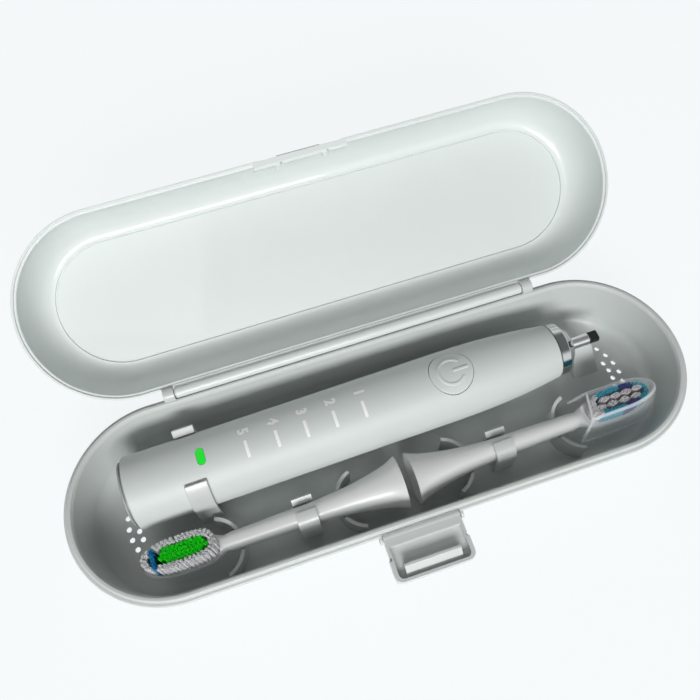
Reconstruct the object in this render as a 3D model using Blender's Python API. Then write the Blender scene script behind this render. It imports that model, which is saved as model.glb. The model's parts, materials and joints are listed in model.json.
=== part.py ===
"""Electric toothbrush travel case, open, with a sonic handle and two brush heads.

Units are metres and +Z is up. The case stands on its flat underside with the origin under the middle
of the base. X runs along the case, and the lid's hinge is on the +Y side. The contents lie in a frame
of their own, turned slightly about Z. Shares are fractions of the size that they follow.
"""

import math

import bmesh
import bpy
from mathutils import Vector

# Fits used all over
FIT = 0.0003
OVERRUN = 0.002
SEAT_GAP = 0.00005
MERGE = 0.000003
SMOOTH_ANGLE = math.radians(40)

# Handle
HANDLE_RADIUS = 0.0130
HANDLE_LENGTH = 0.1603
HANDLE_WALL = 0.0016
NECK_RADIUS = 0.0100
TAPER_LENGTH = 0.0428
END_CAP_LENGTH = 0.0032
END_CAP_RADIUS = 0.0120
END_CAP_PLUG = 0.0050
EDGE_ROUND = 0.0005
COLLAR_LENGTH = 0.0064
COLLAR_SPIGOT = 0.0053
COLLAR_NOSE_RADIUS = 0.0042
COLLAR_SPIGOT_GAP = 0.00045
SHAFT_RADIUS = 0.0022
SHAFT_EXPOSED = 0.0115
SHAFT_FLAT_LENGTH = 0.0040
SHAFT_FLAT_HEIGHT = 0.0012
SEAL_WALL = 0.0009
SEAL_LENGTH = 0.0026
TAPER_POWER_SHARE = 1.2

# Button and lamp on the handle
BUTTON_RADIUS = 0.0080
BUTTON_FROM_NECK = 0.0421
BUTTON_PROUD = 0.0002
BUTTON_SKIN = 0.0012
BUTTON_STEM_RADIUS = 0.0015
BUTTON_TRAVEL = 0.0004
LAMP_FROM_TAIL = 0.0275
LAMP_WIDTH = 0.0032
LAMP_LENGTH = 0.0060
LAMP_THICKNESS = 0.0011

# Inside the handle
CELL_RADIUS = 0.0071
CELL_GAP = 0.0238
CELL_FROM_TAIL = 0.0300
CELL_NUB_RADIUS = 0.0028
CELL_NUB = 0.0012
MOTOR_LENGTH = 0.0400
MOTOR_FROM_NECK = 0.0153
FRAME_WALL = 0.0010
FRAME_RIB = 0.0014
FRAME_OPENING_ANGLE = math.radians(12)
FRAME_RIB_SHARES = (0.0, 0.5, 1.0)
BOARD_WIDTH = 0.0130
BOARD_THICKNESS = 0.0010
SWITCH_SIZE = 0.0060
SWITCH_HEIGHT = 0.0012
COIL_LENGTH = 0.0090
COIL_OUTER_RADIUS = 0.0095
COIL_INNER_RADIUS = 0.0060
GASKET_SECTION_RADIUS = 0.0005
GASKET_GROOVE_DEPTH = 0.0011
GASKET_STEPS = 6

# Brush heads
BRUSH_LENGTH = 0.09165
SKIRT_RADIUS = 0.00945
SKIRT_BORE_RADIUS = 0.0084
SKIRT_BORE_DEPTH = 0.0068
STEM_RADIUS = 0.0033
HEAD_LENGTH = 0.0280
HEAD_HALF_WIDTH = 0.0065
HEAD_HALF_THICKNESS = 0.0021
COUPLING_LENGTH = 0.0125
COUPLING_WALL = 0.0006
TAPER_SHARES = (
    (0.0, 1.0), (0.03, 0.87), (0.067, 0.762), (0.116, 0.656), (0.193, 0.529),
    (0.27, 0.455), (0.351, 0.402), (0.476, 0.381), (0.6, 0.345),
)
HEAD_WIDTH_SHARES = (
    (0.0, 0.50), (0.08, 0.62), (0.18, 0.84), (0.32, 0.97), (0.5, 1.0), (0.66, 0.97),
    (0.8, 0.86), (0.9, 0.68), (0.97, 0.42), (1.0, 0.20),
)
HEAD_SQUARENESS = 3.4
HEAD_SQUARE_FROM_SHARE = 0.33
HEAD_THICKNESS_SHARES = (
    (0.0, 1.40), (0.08, 1.25), (0.18, 1.08), (0.32, 1.0), (0.5, 1.0), (0.66, 1.0),
    (0.8, 1.0), (0.9, 0.97), (0.97, 0.85), (1.0, 0.55),
)

# Bristle field
FIELD_HALF_LENGTH = 0.0124
FIELD_HALF_WIDTH = 0.0056
FIELD_FROM_TIP = 0.0134
FIELD_DEPTH = 0.0011
SLICE_THICKNESS = 0.0007
BRISTLE_HEIGHT = 0.0082
TUFT_PITCH = 0.0019
STRAND_PITCH_SHARE = 0.442
TUFT_COUNT = 2
GREY_TUFT_COUNT = 3
STRAND_RADIUS = 0.00031
STRAND_TIP_SHARE = 0.7
TUFT_STEP = 0.0006
CENTRE_HALF_WIDTH = 0.0027
GREEN_CENTRE_U = -0.0010
GREEN_HALF_LENGTH = 0.0078
GREY_CENTRE_U = -0.0012
GREY_END_GAP = 0.0004
GREY_SIDE_GAP = 0.0009
GREY_SQUARENESS = 3.0
GREY_TUFT_PITCH_SHARE = 0.395
GREY_STRAND_PITCH_SHARE = 0.336
NAVY_LOW_U = 0.0022
NAVY_HIGH_U = 0.0076

# Travel cap on the second brush head
CAP_WALL = 0.0009
CAP_LENGTH = 0.0300
CAP_HALF_WIDTH = 0.0082
CAP_OVERHANG = 0.00355
CAP_ROOF_GAP = 0.0010
CAP_SKIRT_DROP = 0.0005

# Nest that the contents lie in
NEST_CENTRE_X = 0.0012
BRUSH_SHIFT_X = 0.0005
SKIRT_GAP = 0.00415
CONTENT_GAP = 0.00435
FRONT_GAP = 0.0040
BACK_GAP = 0.0088
HANDLE_LIFT = 0.0020
BRUSH_LIFT = 0.00155
CAP_END_GAP = 0.0010
TAIL_END_GAP = 0.0031
NEST_TURN = math.radians(1.25)
RIB_THICKNESS = 0.0012
RIB_RADIUS = 0.0107
RIB_HALF_ANGLE = math.radians(66)
SKIRT_RIB_FROM_CENTRE = 0.01415
HEAD_RIB_FROM_CENTRE = 0.06885
RIB_TOP_BELOW_AXIS = 0.0005
RIB_CLEARANCE = 0.0005
BLOCK_LENGTH = 0.0075
BLOCK_FROM_SHAFT_END = 0.0023
BLOCK_TOP_HALF_WIDTH = 0.0018
BLOCK_FOOT_HALF_WIDTH = 0.0047
NECK_CLIP_FROM_CENTRE = 0.0363
NECK_CLIP_WIDTH = 0.0072
NECK_CLIP_THICKNESS = 0.0012
HANDLE_CLIP_FROM_TAIL = 0.02595
HANDLE_CLIP_WIDTH = 0.0077
HANDLE_CLIP_THICKNESS = 0.0013
NECK_CLIP_TIP_ANGLE = math.radians(13)
HANDLE_CLIP_TIP_ANGLE = math.radians(35)
NECK_CLIP_FLARE_ANGLE = math.radians(12)
HANDLE_CLIP_FLARE_ANGLE = math.radians(30)
CLIP_LEAD_ANGLE = math.radians(35)
NECK_CLIP_FLARE = 0.0026
HANDLE_CLIP_FLARE = 0.0034

# Base of the case
BASE_HEIGHT = 0.0240
FLOOR = 0.0020
WALL = 0.0019
WALL_DRAFT = 0.0020
CORNER_RADIUS = 0.0055
RIM_CHAMFER = 0.0013
LIP_REACH = 0.0015
LIP_THICKNESS = 0.0014
LIP_DROP = 0.0014
VENT_RADIUS = 0.00085
VENT_OUTER_ROW_RADIUS = 0.0196
VENT_INNER_ROW_RADIUS = 0.0162
VENT_STEP = math.radians(12)
VENT_OUTER_PLACES = (-3, -2, -1, 0, 1, 2, 3)
VENT_INNER_PLACES = (-1.5, -0.5, 0.5, 1.5)

# Lid of the case
LID_DEPTH = 0.0182
LID_WALL = 0.0016
LID_PANEL_RADIUS = 0.02315
LID_PANEL_STEP = 0.0004
LID_RIM_WALL = 0.0017
LID_OPEN_ANGLE = math.radians(143.9)

# Hinge between lid and base
HINGE_OFFSET = 0.0021
BARREL_RADIUS = 0.0020
BARREL_HALF_LENGTH = 0.0665
BARREL_WEB = 0.0016
BARREL_GROOVE_RADIUS = 0.0025
HINGE_PIN_RADIUS = 0.0010
HINGE_PIN_LENGTH = 0.0038
LUG_RADIUS = 0.0026
LUG_LENGTH = 0.0040

# Latch on the front
LATCH_X = 0.0002
LATCH_HALF_WIDTH = 0.0134
LATCH_LENGTH = 0.0152
LATCH_TOP = 0.0013
LATCH_UNDERSIDE = 0.0026
LATCH_WALL = 0.0014
LATCH_FLOOR = 0.0010
LATCH_STRIP = 0.0032
LATCH_CORNER_RADIUS = 0.0030
LATCH_FLANGE = 0.0004
LATCH_FLANGE_FROM_PIVOT = 0.0072
LATCH_HUB_RADIUS = 0.0015
LATCH_PIN_RADIUS = 0.0006
LATCH_PIVOT_OFFSET = 0.0019
LATCH_PIVOT_DROP = 0.0034
EAR_RADIUS = 0.00165
EAR_THICKNESS = 0.0016
HOOK_HALF_LENGTH = 0.00975
HOOK_FROM_PIVOT = 0.0097
HOOK_THICKNESS = 0.0013
HOOK_PROUD = 0.0006
POCKET_HALF_WIDTH = 0.0172
POCKET_DEPTH = 0.0013
POCKET_HEIGHT = 0.0110
RIDGE_HALF_LENGTH = 0.0080
RIDGE_HEIGHT = 0.0021
RIDGE_NOSE_SHARE = 0.6
RIDGE_GAP = 0.0004
RIDGE_OVERLAP = 0.0004
CATCH_WIDTH = 0.0018
CATCH_HEIGHT = 0.0026
CATCH_FROM_CENTRE = 0.0087

# Facets: how many steps a round shape takes
END_STEPS = 20
CORNER_STEPS = 5
DOME_STEPS = 8
ROUND_STEPS = 30
STRAND_SIDES = 3
BRUSH_STEPS = 20
SMALL_ROUND_STEPS = 16
VENT_STEPS = 6

# Places worked out from the sizes above
floor_top = FLOOR
handle_z = floor_top + HANDLE_LIFT + HANDLE_RADIUS
brush_z = floor_top + BRUSH_LIFT + SKIRT_RADIUS
contents_width = 2 * HANDLE_RADIUS + 2 * SKIRT_RADIUS + CONTENT_GAP
tray_radius = (contents_width + FRONT_GAP + BACK_GAP) / 2
handle_y = tray_radius - BACK_GAP - HANDLE_RADIUS
brush_y = -tray_radius + FRONT_GAP + SKIRT_RADIUS
tray_rim_radius = tray_radius + WALL_DRAFT / 2
tray_foot_radius = tray_rim_radius - WALL_DRAFT
rim_radius = tray_rim_radius + WALL
lip_radius = rim_radius + LIP_REACH

brush_centre_x = NEST_CENTRE_X + BRUSH_SHIFT_X
cap_end_x = brush_centre_x + SKIRT_GAP / 2 + BRUSH_LENGTH + CAP_OVERHANG
cap_round_x = cap_end_x - CAP_HALF_WIDTH
cap_round_y = brush_y + cap_round_x * math.sin(NEST_TURN)
cap_round_room = tray_foot_radius - CAP_END_GAP - CAP_HALF_WIDTH
cap_reach = math.sqrt(max(cap_round_room ** 2 - cap_round_y ** 2, 0))
tail_room = tray_foot_radius - TAIL_END_GAP
tail_reach = math.sqrt(max(tail_room ** 2 - (handle_y + END_CAP_RADIUS) ** 2, 0))
handle_reach = END_CAP_LENGTH + FIT + HANDLE_LENGTH + FIT + COLLAR_LENGTH + SHAFT_EXPOSED
half_straight_for_brushes = cap_round_x - cap_reach
shaft_reach = math.sqrt(max(tail_room ** 2 - (handle_y + SHAFT_RADIUS) ** 2, 0))
half_straight_for_handle = (handle_reach - tail_reach - shaft_reach) / 2
half_straight = max(half_straight_for_brushes, half_straight_for_handle)

tail_x = -half_straight - tail_reach + END_CAP_LENGTH + FIT
neck_x = tail_x + HANDLE_LENGTH
collar_start_x = neck_x + FIT
collar_end_x = collar_start_x + COLLAR_LENGTH
shaft_end_x = collar_end_x + SHAFT_EXPOSED
bore_radius = HANDLE_RADIUS - HANDLE_WALL
frame_radius = CELL_RADIUS + FIT + FRAME_WALL
board_z = CELL_RADIUS + FIT
button_x = neck_x - BUTTON_FROM_NECK

hinge_y = rim_radius + HINGE_OFFSET
latch_y = -rim_radius - LATCH_PIVOT_OFFSET
latch_z = BASE_HEIGHT - LATCH_PIVOT_DROP


def clear_scene():
    """Remove whatever the file holds before the model is made."""
    for obj in list(bpy.data.objects):
        bpy.data.objects.remove(obj, do_unlink=True)


def finish(name, colour, roughness, metallic=0.0, alpha=1.0):
    """One Principled material."""
    material = bpy.data.materials.new(name)
    material.use_nodes = True
    shader = material.node_tree.nodes["Principled BSDF"]
    shader.inputs["Base Color"].default_value = (*colour, 1.0)
    shader.inputs["Roughness"].default_value = roughness
    shader.inputs["Metallic"].default_value = metallic
    shader.inputs["Alpha"].default_value = alpha
    material.diffuse_color = (*colour, alpha)
    return material


def axis_empty(name, spot, turn=(0, 0, 0), parent=None):
    """An empty that carries the pieces of one frame or one moving group."""
    empty = bpy.data.objects.new(name, None)
    bpy.context.scene.collection.objects.link(empty)
    empty.location = spot
    empty.rotation_euler = turn
    empty.parent = parent
    return empty


def place(name, bm, material, parent=None, spot=(0, 0, 0), turn=(0, 0, 0)):
    """Turn a bmesh into a named object with its material, faces outward and smooth where round."""
    bmesh.ops.recalc_face_normals(bm, faces=bm.faces)
    mesh = bpy.data.meshes.new(name)
    bm.to_mesh(mesh)
    bm.free()
    mesh.shade_smooth()
    mesh.set_sharp_from_angle(angle=SMOOTH_ANGLE)
    if material is not None:
        mesh.materials.append(material)
    obj = bpy.data.objects.new(name, mesh)
    bpy.context.scene.collection.objects.link(obj)
    obj.location = spot
    obj.rotation_euler = turn
    obj.parent = parent
    return obj


def helper(name, bm, parent=None, spot=(0, 0, 0), turn=(0, 0, 0)):
    """A cutter or an addition that only feeds a Boolean."""
    obj = place(name, bm, None, parent, spot, turn)
    obj.hide_render = True
    obj.display_type = "WIRE"
    return obj


def combine(obj, other, operation):
    """Add a live Boolean with another object."""
    modifier = obj.modifiers.new(operation.lower() + " " + other.name, "BOOLEAN")
    modifier.operation = operation
    modifier.object = other
    return obj


def join_in(bm, other):
    """Copy one bmesh into another and free the copied one."""
    spare = bpy.data.meshes.new("spare")
    other.to_mesh(spare)
    other.free()
    bm.from_mesh(spare)
    bpy.data.meshes.remove(spare)
    return bm


def loft(rings):
    """Skin a row of rings that have the same number of points, and close both ends."""
    bm = bmesh.new()
    rows = [[bm.verts.new(point) for point in ring] for ring in rings]
    count = len(rows[0])
    for near, far in zip(rows, rows[1:]):
        for i in range(count):
            j = (i + 1) % count
            bm.faces.new((near[i], near[j], far[j], far[i]))
    bm.faces.new(list(reversed(rows[0])))
    bm.faces.new(rows[-1])
    return bm


def stadium(radius, z, centre_y=0.0):
    """The case's plan outline at one height: two half circles joined by straight sides."""
    points = []
    for side in (1, -1):
        for i in range(END_STEPS + 1):
            angle = math.pi * (i / END_STEPS - 0.5)
            x = side * (half_straight + radius * math.cos(angle))
            points.append(Vector((x, centre_y + side * radius * math.sin(angle), z)))
    return points


def turned(profile, steps=ROUND_STEPS, closed=True):
    """Spin a profile of (x, radius) points about the X axis; a closed profile makes a ring."""
    bm = bmesh.new()
    verts = [bm.verts.new((x, 0, radius)) for x, radius in profile]
    pairs = list(zip(verts, verts[1:]))
    if closed:
        pairs.append((verts[-1], verts[0]))
    edges = [bm.edges.new(pair) for pair in pairs]
    bmesh.ops.spin(
        bm, geom=verts + edges, cent=(0, 0, 0), axis=(1, 0, 0), angle=math.tau, steps=steps, use_merge=True
    )
    bmesh.ops.remove_doubles(bm, verts=bm.verts, dist=MERGE)
    return bm


def rod(start_x, end_x, radius, steps=SMALL_ROUND_STEPS):
    """A plain round bar along X."""
    profile = [(start_x, 0), (start_x, radius), (end_x, radius), (end_x, 0)]
    return turned(profile, steps, closed=False)


def block(low, high):
    """A box between two corners."""
    bm = bmesh.new()
    bmesh.ops.create_cube(bm, size=1)
    size = Vector(high) - Vector(low)
    middle = (Vector(high) + Vector(low)) / 2
    bmesh.ops.scale(bm, vec=size, verts=bm.verts)
    bmesh.ops.translate(bm, vec=middle, verts=bm.verts)
    return bm


def slab(outline, low, high):
    """Extrude a plan outline of (x, y) points from one height to another."""
    return loft([[Vector((x, y, z)) for x, y in outline] for z in (low, high)])


def extrusion(outline, low, high):
    """Extrude a side outline of (y, z) points along X."""
    return loft([[Vector((x, y, z)) for y, z in outline] for x in (low, high)])


def arc(centre, radius, start, end, steps):
    """Points on a circle in a plane, from one angle to another."""
    points = []
    for i in range(steps + 1):
        angle = start + (end - start) * i / steps
        points.append((centre[0] + radius * math.cos(angle), centre[1] + radius * math.sin(angle)))
    return points


def rounded(value, power):
    """A sine or cosine raised to a power with its sign kept."""
    return math.copysign(abs(value) ** power, value)


def ellipse(centre, half_length, half_width, steps=SMALL_ROUND_STEPS, squareness=2):
    """A closed plan outline: an ellipse, or a squarer oval."""
    points = []
    for i in range(steps):
        angle = math.tau * (i + 0.5) / steps
        x = centre[0] + half_length * rounded(math.cos(angle), 2 / squareness)
        points.append((x, centre[1] + half_width * rounded(math.sin(angle), 2 / squareness)))
    return points


def strip(path, thickness):
    """The outline of a bent strip of even thickness along a path of points in a plane."""
    left = []
    right = []
    for i, point in enumerate(path):
        before = Vector(path[max(i - 1, 0)])
        after = Vector(path[min(i + 1, len(path) - 1)])
        here = Vector(point)
        into = (here - before).normalized() if i > 0 else (after - here).normalized()
        out = (after - here).normalized() if i < len(path) - 1 else into
        mean = (into + out).normalized()
        side = Vector((-mean.y, mean.x)) * thickness / 2 / max(mean.dot(into), 0.5)
        left.append(tuple(here + side))
        right.append(tuple(here - side))
    return left + right[::-1]


def blend(shares, share):
    """Read a table of shares between its points."""
    for (low, from_value), (high, to_value) in zip(shares, shares[1:]):
        if share <= high:
            return from_value + (to_value - from_value) * (share - low) / (high - low)
    return shares[-1][1]


# The base

def base_rings():
    """The tray's wall: up the outside from the underside, over the rim and down to the floor."""
    corner_r = tray_foot_radius - CORNER_RADIUS
    corner_z = floor_top + CORNER_RADIUS
    lip_top = BASE_HEIGHT - LIP_DROP
    lip_foot = lip_top - LIP_THICKNESS
    outside = []
    inside = []
    for i in range(CORNER_STEPS + 1):
        angle = math.pi / 2 * i / CORNER_STEPS
        outside.append((
            corner_r + (CORNER_RADIUS + WALL) * math.sin(angle),
            corner_z - (CORNER_RADIUS + FLOOR) * math.cos(angle),
        ))
        inside.append((
            corner_r + CORNER_RADIUS * math.sin(angle),
            corner_z - CORNER_RADIUS * math.cos(angle),
        ))
    rim = [
        (rim_radius - FIT, lip_foot - LIP_REACH / 2),
        (lip_radius, lip_foot),
        (lip_radius, lip_top - 2 * FIT),
        (lip_radius - 2 * FIT, lip_top),
        (rim_radius + FIT, lip_top - FIT),
        (rim_radius, BASE_HEIGHT - FIT),
        (rim_radius - FIT, BASE_HEIGHT),
        (tray_rim_radius + RIM_CHAMFER / 2, BASE_HEIGHT),
        (tray_rim_radius, BASE_HEIGHT - RIM_CHAMFER),
    ]
    return [stadium(radius, z) for radius, z in outside + rim + inside[::-1]]


def vents():
    """Air holes through the floor, in two curved rows at each end."""
    bm = bmesh.new()
    rows = ((VENT_OUTER_ROW_RADIUS, VENT_OUTER_PLACES), (VENT_INNER_ROW_RADIUS, VENT_INNER_PLACES))
    for side in (1, -1):
        for radius, places in rows:
            for spot in places:
                angle = spot * VENT_STEP
                x = side * (half_straight + radius * math.cos(angle))
                y = radius * math.sin(angle)
                outline = arc((x, y), VENT_RADIUS, 0, math.tau * (1 - 1 / VENT_STEPS), VENT_STEPS - 1)
                join_in(bm, slab(outline, -OVERRUN, floor_top + OVERRUN))
    return bm


def saddle_ribs():
    """Four thin upright walls, curved in plan, that the brush necks lie in."""
    bm = bmesh.new()
    for side, bulge, distance in (
        (-1, -1, SKIRT_RIB_FROM_CENTRE), (1, 1, SKIRT_RIB_FROM_CENTRE),
        (-1, 1, HEAD_RIB_FROM_CENTRE), (1, -1, HEAD_RIB_FROM_CENTRE),
    ):
        centre = (NEST_CENTRE_X + side * distance, brush_y)
        middle = 0 if bulge > 0 else math.pi
        path = arc(centre, RIB_RADIUS, middle - RIB_HALF_ANGLE, middle + RIB_HALF_ANGLE, DOME_STEPS)
        join_in(bm, slab(strip(path, RIB_THICKNESS), floor_top - FIT, brush_z - RIB_TOP_BELOW_AXIS))
    return bm


def shaft_block():
    """The drafted block that holds up the drive shaft's free end."""
    top = handle_z - SHAFT_RADIUS - FIT
    end = shaft_end_x - BLOCK_FROM_SHAFT_END
    outline = [
        (handle_y - BLOCK_FOOT_HALF_WIDTH, floor_top - FIT),
        (handle_y + BLOCK_FOOT_HALF_WIDTH, floor_top - FIT),
        (handle_y + BLOCK_TOP_HALF_WIDTH, top),
        (handle_y - BLOCK_TOP_HALF_WIDTH, top),
    ]
    return extrusion(outline, end - BLOCK_LENGTH, end)


def hinge_lugs(radius, grow, length_grow):
    """A round bar at each end of the hinge, for the lugs themselves or for what clears them."""
    start = BARREL_HALF_LENGTH + FIT - length_grow
    end = start + LUG_LENGTH + 2 * length_grow
    bm = rod(start, end, radius + grow)
    return join_in(bm, rod(-end, -start, radius + grow))


def latch_ears():
    """Two small rounded ears under the lip that hold the latch's pins."""
    bm = bmesh.new()
    inner = LATCH_HALF_WIDTH + FIT
    back = LATCH_PIVOT_OFFSET + WALL / 2
    outline = arc((0, 0), EAR_RADIUS, math.pi / 2, math.pi * 3 / 2, DOME_STEPS)
    outline += [(back, -EAR_RADIUS), (back, EAR_RADIUS)]
    for low, high in ((inner, inner + EAR_THICKNESS), (-inner - EAR_THICKNESS, -inner)):
        join_in(bm, extrusion(outline, low, high))
    return bm


def clip_outline(grip_radius, thickness, foot_drop, tip_angle, flare_angle, flare):
    """A snap clip seen along X: hooked front arm, foot on the floor, back arm with a lead-in lip."""
    radius = grip_radius + thickness / 2
    foot = -foot_drop + thickness / 2
    path = arc((0, 0), radius, math.pi / 2 + tip_angle, math.pi, DOME_STEPS)
    path += [(-radius, foot), (radius, foot)]
    path += arc((0, 0), radius, 0, flare_angle, CORNER_STEPS)
    last = Vector(path[-1])
    outward = Vector((math.cos(CLIP_LEAD_ANGLE), math.sin(CLIP_LEAD_ANGLE)))
    path.append(tuple(last + outward * flare))
    return strip(path, thickness)


# Lid

def lid_rings():
    """The lid's shell, closed position, with the hinge axis as its origin."""
    middle = -hinge_y
    top = LID_DEPTH + LID_WALL
    inner_rim = rim_radius - LID_RIM_WALL
    outer_panel = LID_PANEL_RADIUS + FIT
    outside = []
    inside = []
    for i in range(DOME_STEPS + 1):
        angle = math.pi / 2 * i / DOME_STEPS
        outside.append((
            outer_panel + (rim_radius - outer_panel) * math.sin(angle),
            FIT * 2 + (top - FIT * 2) * math.cos(angle),
        ))
        inside.append((
            LID_PANEL_RADIUS + (inner_rim - LID_PANEL_RADIUS) * math.cos(angle),
            FIT * 2 + (LID_DEPTH - FIT * 2) * math.sin(angle),
        ))
    rim = [(rim_radius - FIT, FIT), (inner_rim + FIT, FIT)]
    panel = [(LID_PANEL_RADIUS - FIT, LID_DEPTH + LID_PANEL_STEP)]
    return [stadium(radius, h, middle) for radius, h in outside + rim + inside + panel]


def lid_knuckle():
    """The lid's long barrel with a stub pin at each end."""
    end = BARREL_HALF_LENGTH
    tip = end + HINGE_PIN_LENGTH
    profile = [
        (-tip, 0), (-tip, HINGE_PIN_RADIUS), (-end, HINGE_PIN_RADIUS), (-end, BARREL_RADIUS),
        (end, BARREL_RADIUS), (end, HINGE_PIN_RADIUS), (tip, HINGE_PIN_RADIUS), (tip, 0),
    ]
    return turned(profile, SMALL_ROUND_STEPS, closed=False)


def lid_web():
    """The strip that joins the barrel to the lid's rim."""
    low = (-BARREL_HALF_LENGTH, -HINGE_OFFSET - LID_RIM_WALL / 2, FIT)
    return block(low, (BARREL_HALF_LENGTH, 0, FIT + BARREL_WEB))


def latch_ridge():
    """The ridge in the lid's pocket that the latch's hook snaps over, in the hinge's frame."""
    face = -hinge_y - rim_radius + POCKET_DEPTH
    top = HOOK_FROM_PIVOT - LATCH_PIVOT_DROP - RIDGE_GAP
    reach = latch_y + LATCH_TOP + HOOK_PROUD - RIDGE_OVERLAP - hinge_y
    outline = [
        (face + WALL / 2, top - RIDGE_HEIGHT), (face, top - RIDGE_HEIGHT),
        (reach, top - RIDGE_HEIGHT * RIDGE_NOSE_SHARE), (reach, top), (face + WALL / 2, top),
    ]
    return extrusion(outline, LATCH_X - RIDGE_HALF_LENGTH, LATCH_X + RIDGE_HALF_LENGTH)


def lid_catches():
    """Two small wedges inside the lid's front edge."""
    bm = bmesh.new()
    face = -hinge_y - rim_radius + POCKET_DEPTH + LID_WALL
    outline = [
        (face - WALL / 2, FIT * 2), (face + CATCH_WIDTH / 2, FIT * 2),
        (face, FIT * 2 + CATCH_HEIGHT), (face - WALL / 2, FIT * 2 + CATCH_HEIGHT),
    ]
    for side in (-1, 1):
        x = LATCH_X + side * CATCH_FROM_CENTRE
        join_in(bm, extrusion(outline, x - CATCH_WIDTH / 2, x + CATCH_WIDTH / 2))
    return bm


# Latch

def latch_plan():
    """The latch's plan, with its wider outer part and rounded corners."""
    wide = LATCH_HALF_WIDTH + LATCH_FLANGE
    radius = LATCH_CORNER_RADIUS
    right = [
        (LATCH_HALF_WIDTH, 0), (LATCH_HALF_WIDTH, -LATCH_FLANGE_FROM_PIVOT), (wide, -LATCH_FLANGE_FROM_PIVOT),
    ]
    right += arc((wide - radius, radius - LATCH_LENGTH), radius, 0, -math.pi / 2, CORNER_STEPS)
    return right + [(-x, y) for x, y in reversed(right)]


def latch_recess():
    """The hollow inside the latch's tray."""
    wide = LATCH_HALF_WIDTH - LATCH_WALL
    end = LATCH_WALL - LATCH_LENGTH
    radius = LATCH_CORNER_RADIUS - LATCH_WALL
    right = [(wide, -LATCH_STRIP)] + arc((wide - radius, end + radius), radius, 0, -math.pi / 2, CORNER_STEPS)
    outline = right + [(-x, y) for x, y in reversed(right)]
    return slab(outline, -LATCH_UNDERSIDE + LATCH_FLOOR, LATCH_TOP + OVERRUN)


def latch_hook():
    """The bar that snaps over the lid's ridge, sloping down to the outer lip."""
    near = -HOOK_FROM_PIVOT
    top = LATCH_TOP + HOOK_PROUD
    floor = -LATCH_UNDERSIDE + LATCH_FLOOR / 2
    outer = -LATCH_LENGTH + LATCH_WALL / 2
    outline = [
        (near, floor), (outer, floor), (outer, -LATCH_UNDERSIDE + 2 * LATCH_FLOOR),
        (near - HOOK_THICKNESS, top - FIT), (near - HOOK_THICKNESS + FIT, top),
        (near - FIT, top), (near, top - FIT),
    ]
    return extrusion(outline, -HOOK_HALF_LENGTH, HOOK_HALF_LENGTH)


# Handle

def housing_radius(x):
    """The handle's outer radius at a place along it: straight, then tapering to the neck."""
    share = max(0.0, (x - (neck_x - TAPER_LENGTH)) / TAPER_LENGTH)
    return HANDLE_RADIUS - (HANDLE_RADIUS - NECK_RADIUS) * share ** TAPER_POWER_SHARE


def housing():
    """The handle's tube, open at both ends."""
    taper = [neck_x - TAPER_LENGTH * (1 - i / CORNER_STEPS) for i in range(CORNER_STEPS + 1)]
    outside = [(tail_x, HANDLE_RADIUS - EDGE_ROUND), (tail_x + EDGE_ROUND, HANDLE_RADIUS)]
    outside += [(x, housing_radius(x)) for x in taper]
    inside = [(x, housing_radius(x) - HANDLE_WALL) for x in reversed(taper)]
    inside.append((tail_x, HANDLE_RADIUS - HANDLE_WALL))
    return turned(outside + inside)


def wall_patch(outline, inner, outer):
    """A plug of the handle's wall: a plan outline met with a ring of the wall's curve."""
    low = min(x for x, y in outline) - OVERRUN
    high = max(x for x, y in outline) + OVERRUN
    plug = slab(outline, CELL_RADIUS, HANDLE_RADIUS + OVERRUN)
    ring = turned([(low, inner), (low, outer), (high, outer), (high, inner)], 2 * ROUND_STEPS)
    return plug, ring


def pill(centre_x, width, length):
    """A plan outline with round ends, lying across the handle."""
    radius = width / 2
    reach = length / 2 - radius
    ends = arc((centre_x, reach), radius, 0, math.pi, CORNER_STEPS)
    return ends + arc((centre_x, -reach), radius, math.pi, math.tau, CORNER_STEPS)


def end_cap():
    """The tail cap with its plug, grooved for the gasket."""
    joint = tail_x - FIT
    start = joint - END_CAP_LENGTH
    plug_end = joint + END_CAP_PLUG
    plug = bore_radius - FIT
    groove = plug - GASKET_GROOVE_DEPTH
    middle = joint + END_CAP_PLUG / 2
    half = GASKET_SECTION_RADIUS + FIT
    return turned([
        (start, 0), (start, END_CAP_RADIUS - EDGE_ROUND), (start + EDGE_ROUND, END_CAP_RADIUS),
        (joint, END_CAP_RADIUS), (joint, plug), (middle - half, plug), (middle - half, groove),
        (middle + half, groove), (middle + half, plug), (plug_end, plug), (plug_end, 0),
    ], closed=False)


def end_cap_gasket():
    """A rubber ring in the plug's groove."""
    middle = tail_x - FIT + END_CAP_PLUG / 2
    radius = bore_radius - SEAT_GAP - GASKET_SECTION_RADIUS
    last = math.tau * (1 - 1 / GASKET_STEPS)
    return turned(arc((middle, radius), GASKET_SECTION_RADIUS, 0, last, GASKET_STEPS - 1), ROUND_STEPS)


def collar():
    """The chrome dome at the neck, with its spigot in the housing and a seat for the seal."""
    spigot = NECK_RADIUS - HANDLE_WALL - COLLAR_SPIGOT_GAP
    seat = SHAFT_RADIUS + FIT + SEAL_WALL + FIT
    seat_start = collar_end_x - SEAL_LENGTH - FIT
    dome = []
    for i in range(CORNER_STEPS + 1):
        angle = math.pi / 2 * i / CORNER_STEPS
        dome.append((
            collar_start_x + COLLAR_LENGTH * math.sin(angle),
            COLLAR_NOSE_RADIUS + (NECK_RADIUS - COLLAR_NOSE_RADIUS) * math.cos(angle),
        ))
    bore = SHAFT_RADIUS + 2 * FIT
    start = collar_start_x - COLLAR_SPIGOT
    return turned(
        [(start, bore), (start, spigot), (collar_start_x, spigot)] + dome
        + [(collar_end_x, seat), (seat_start, seat), (seat_start, bore)]
    )


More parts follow.
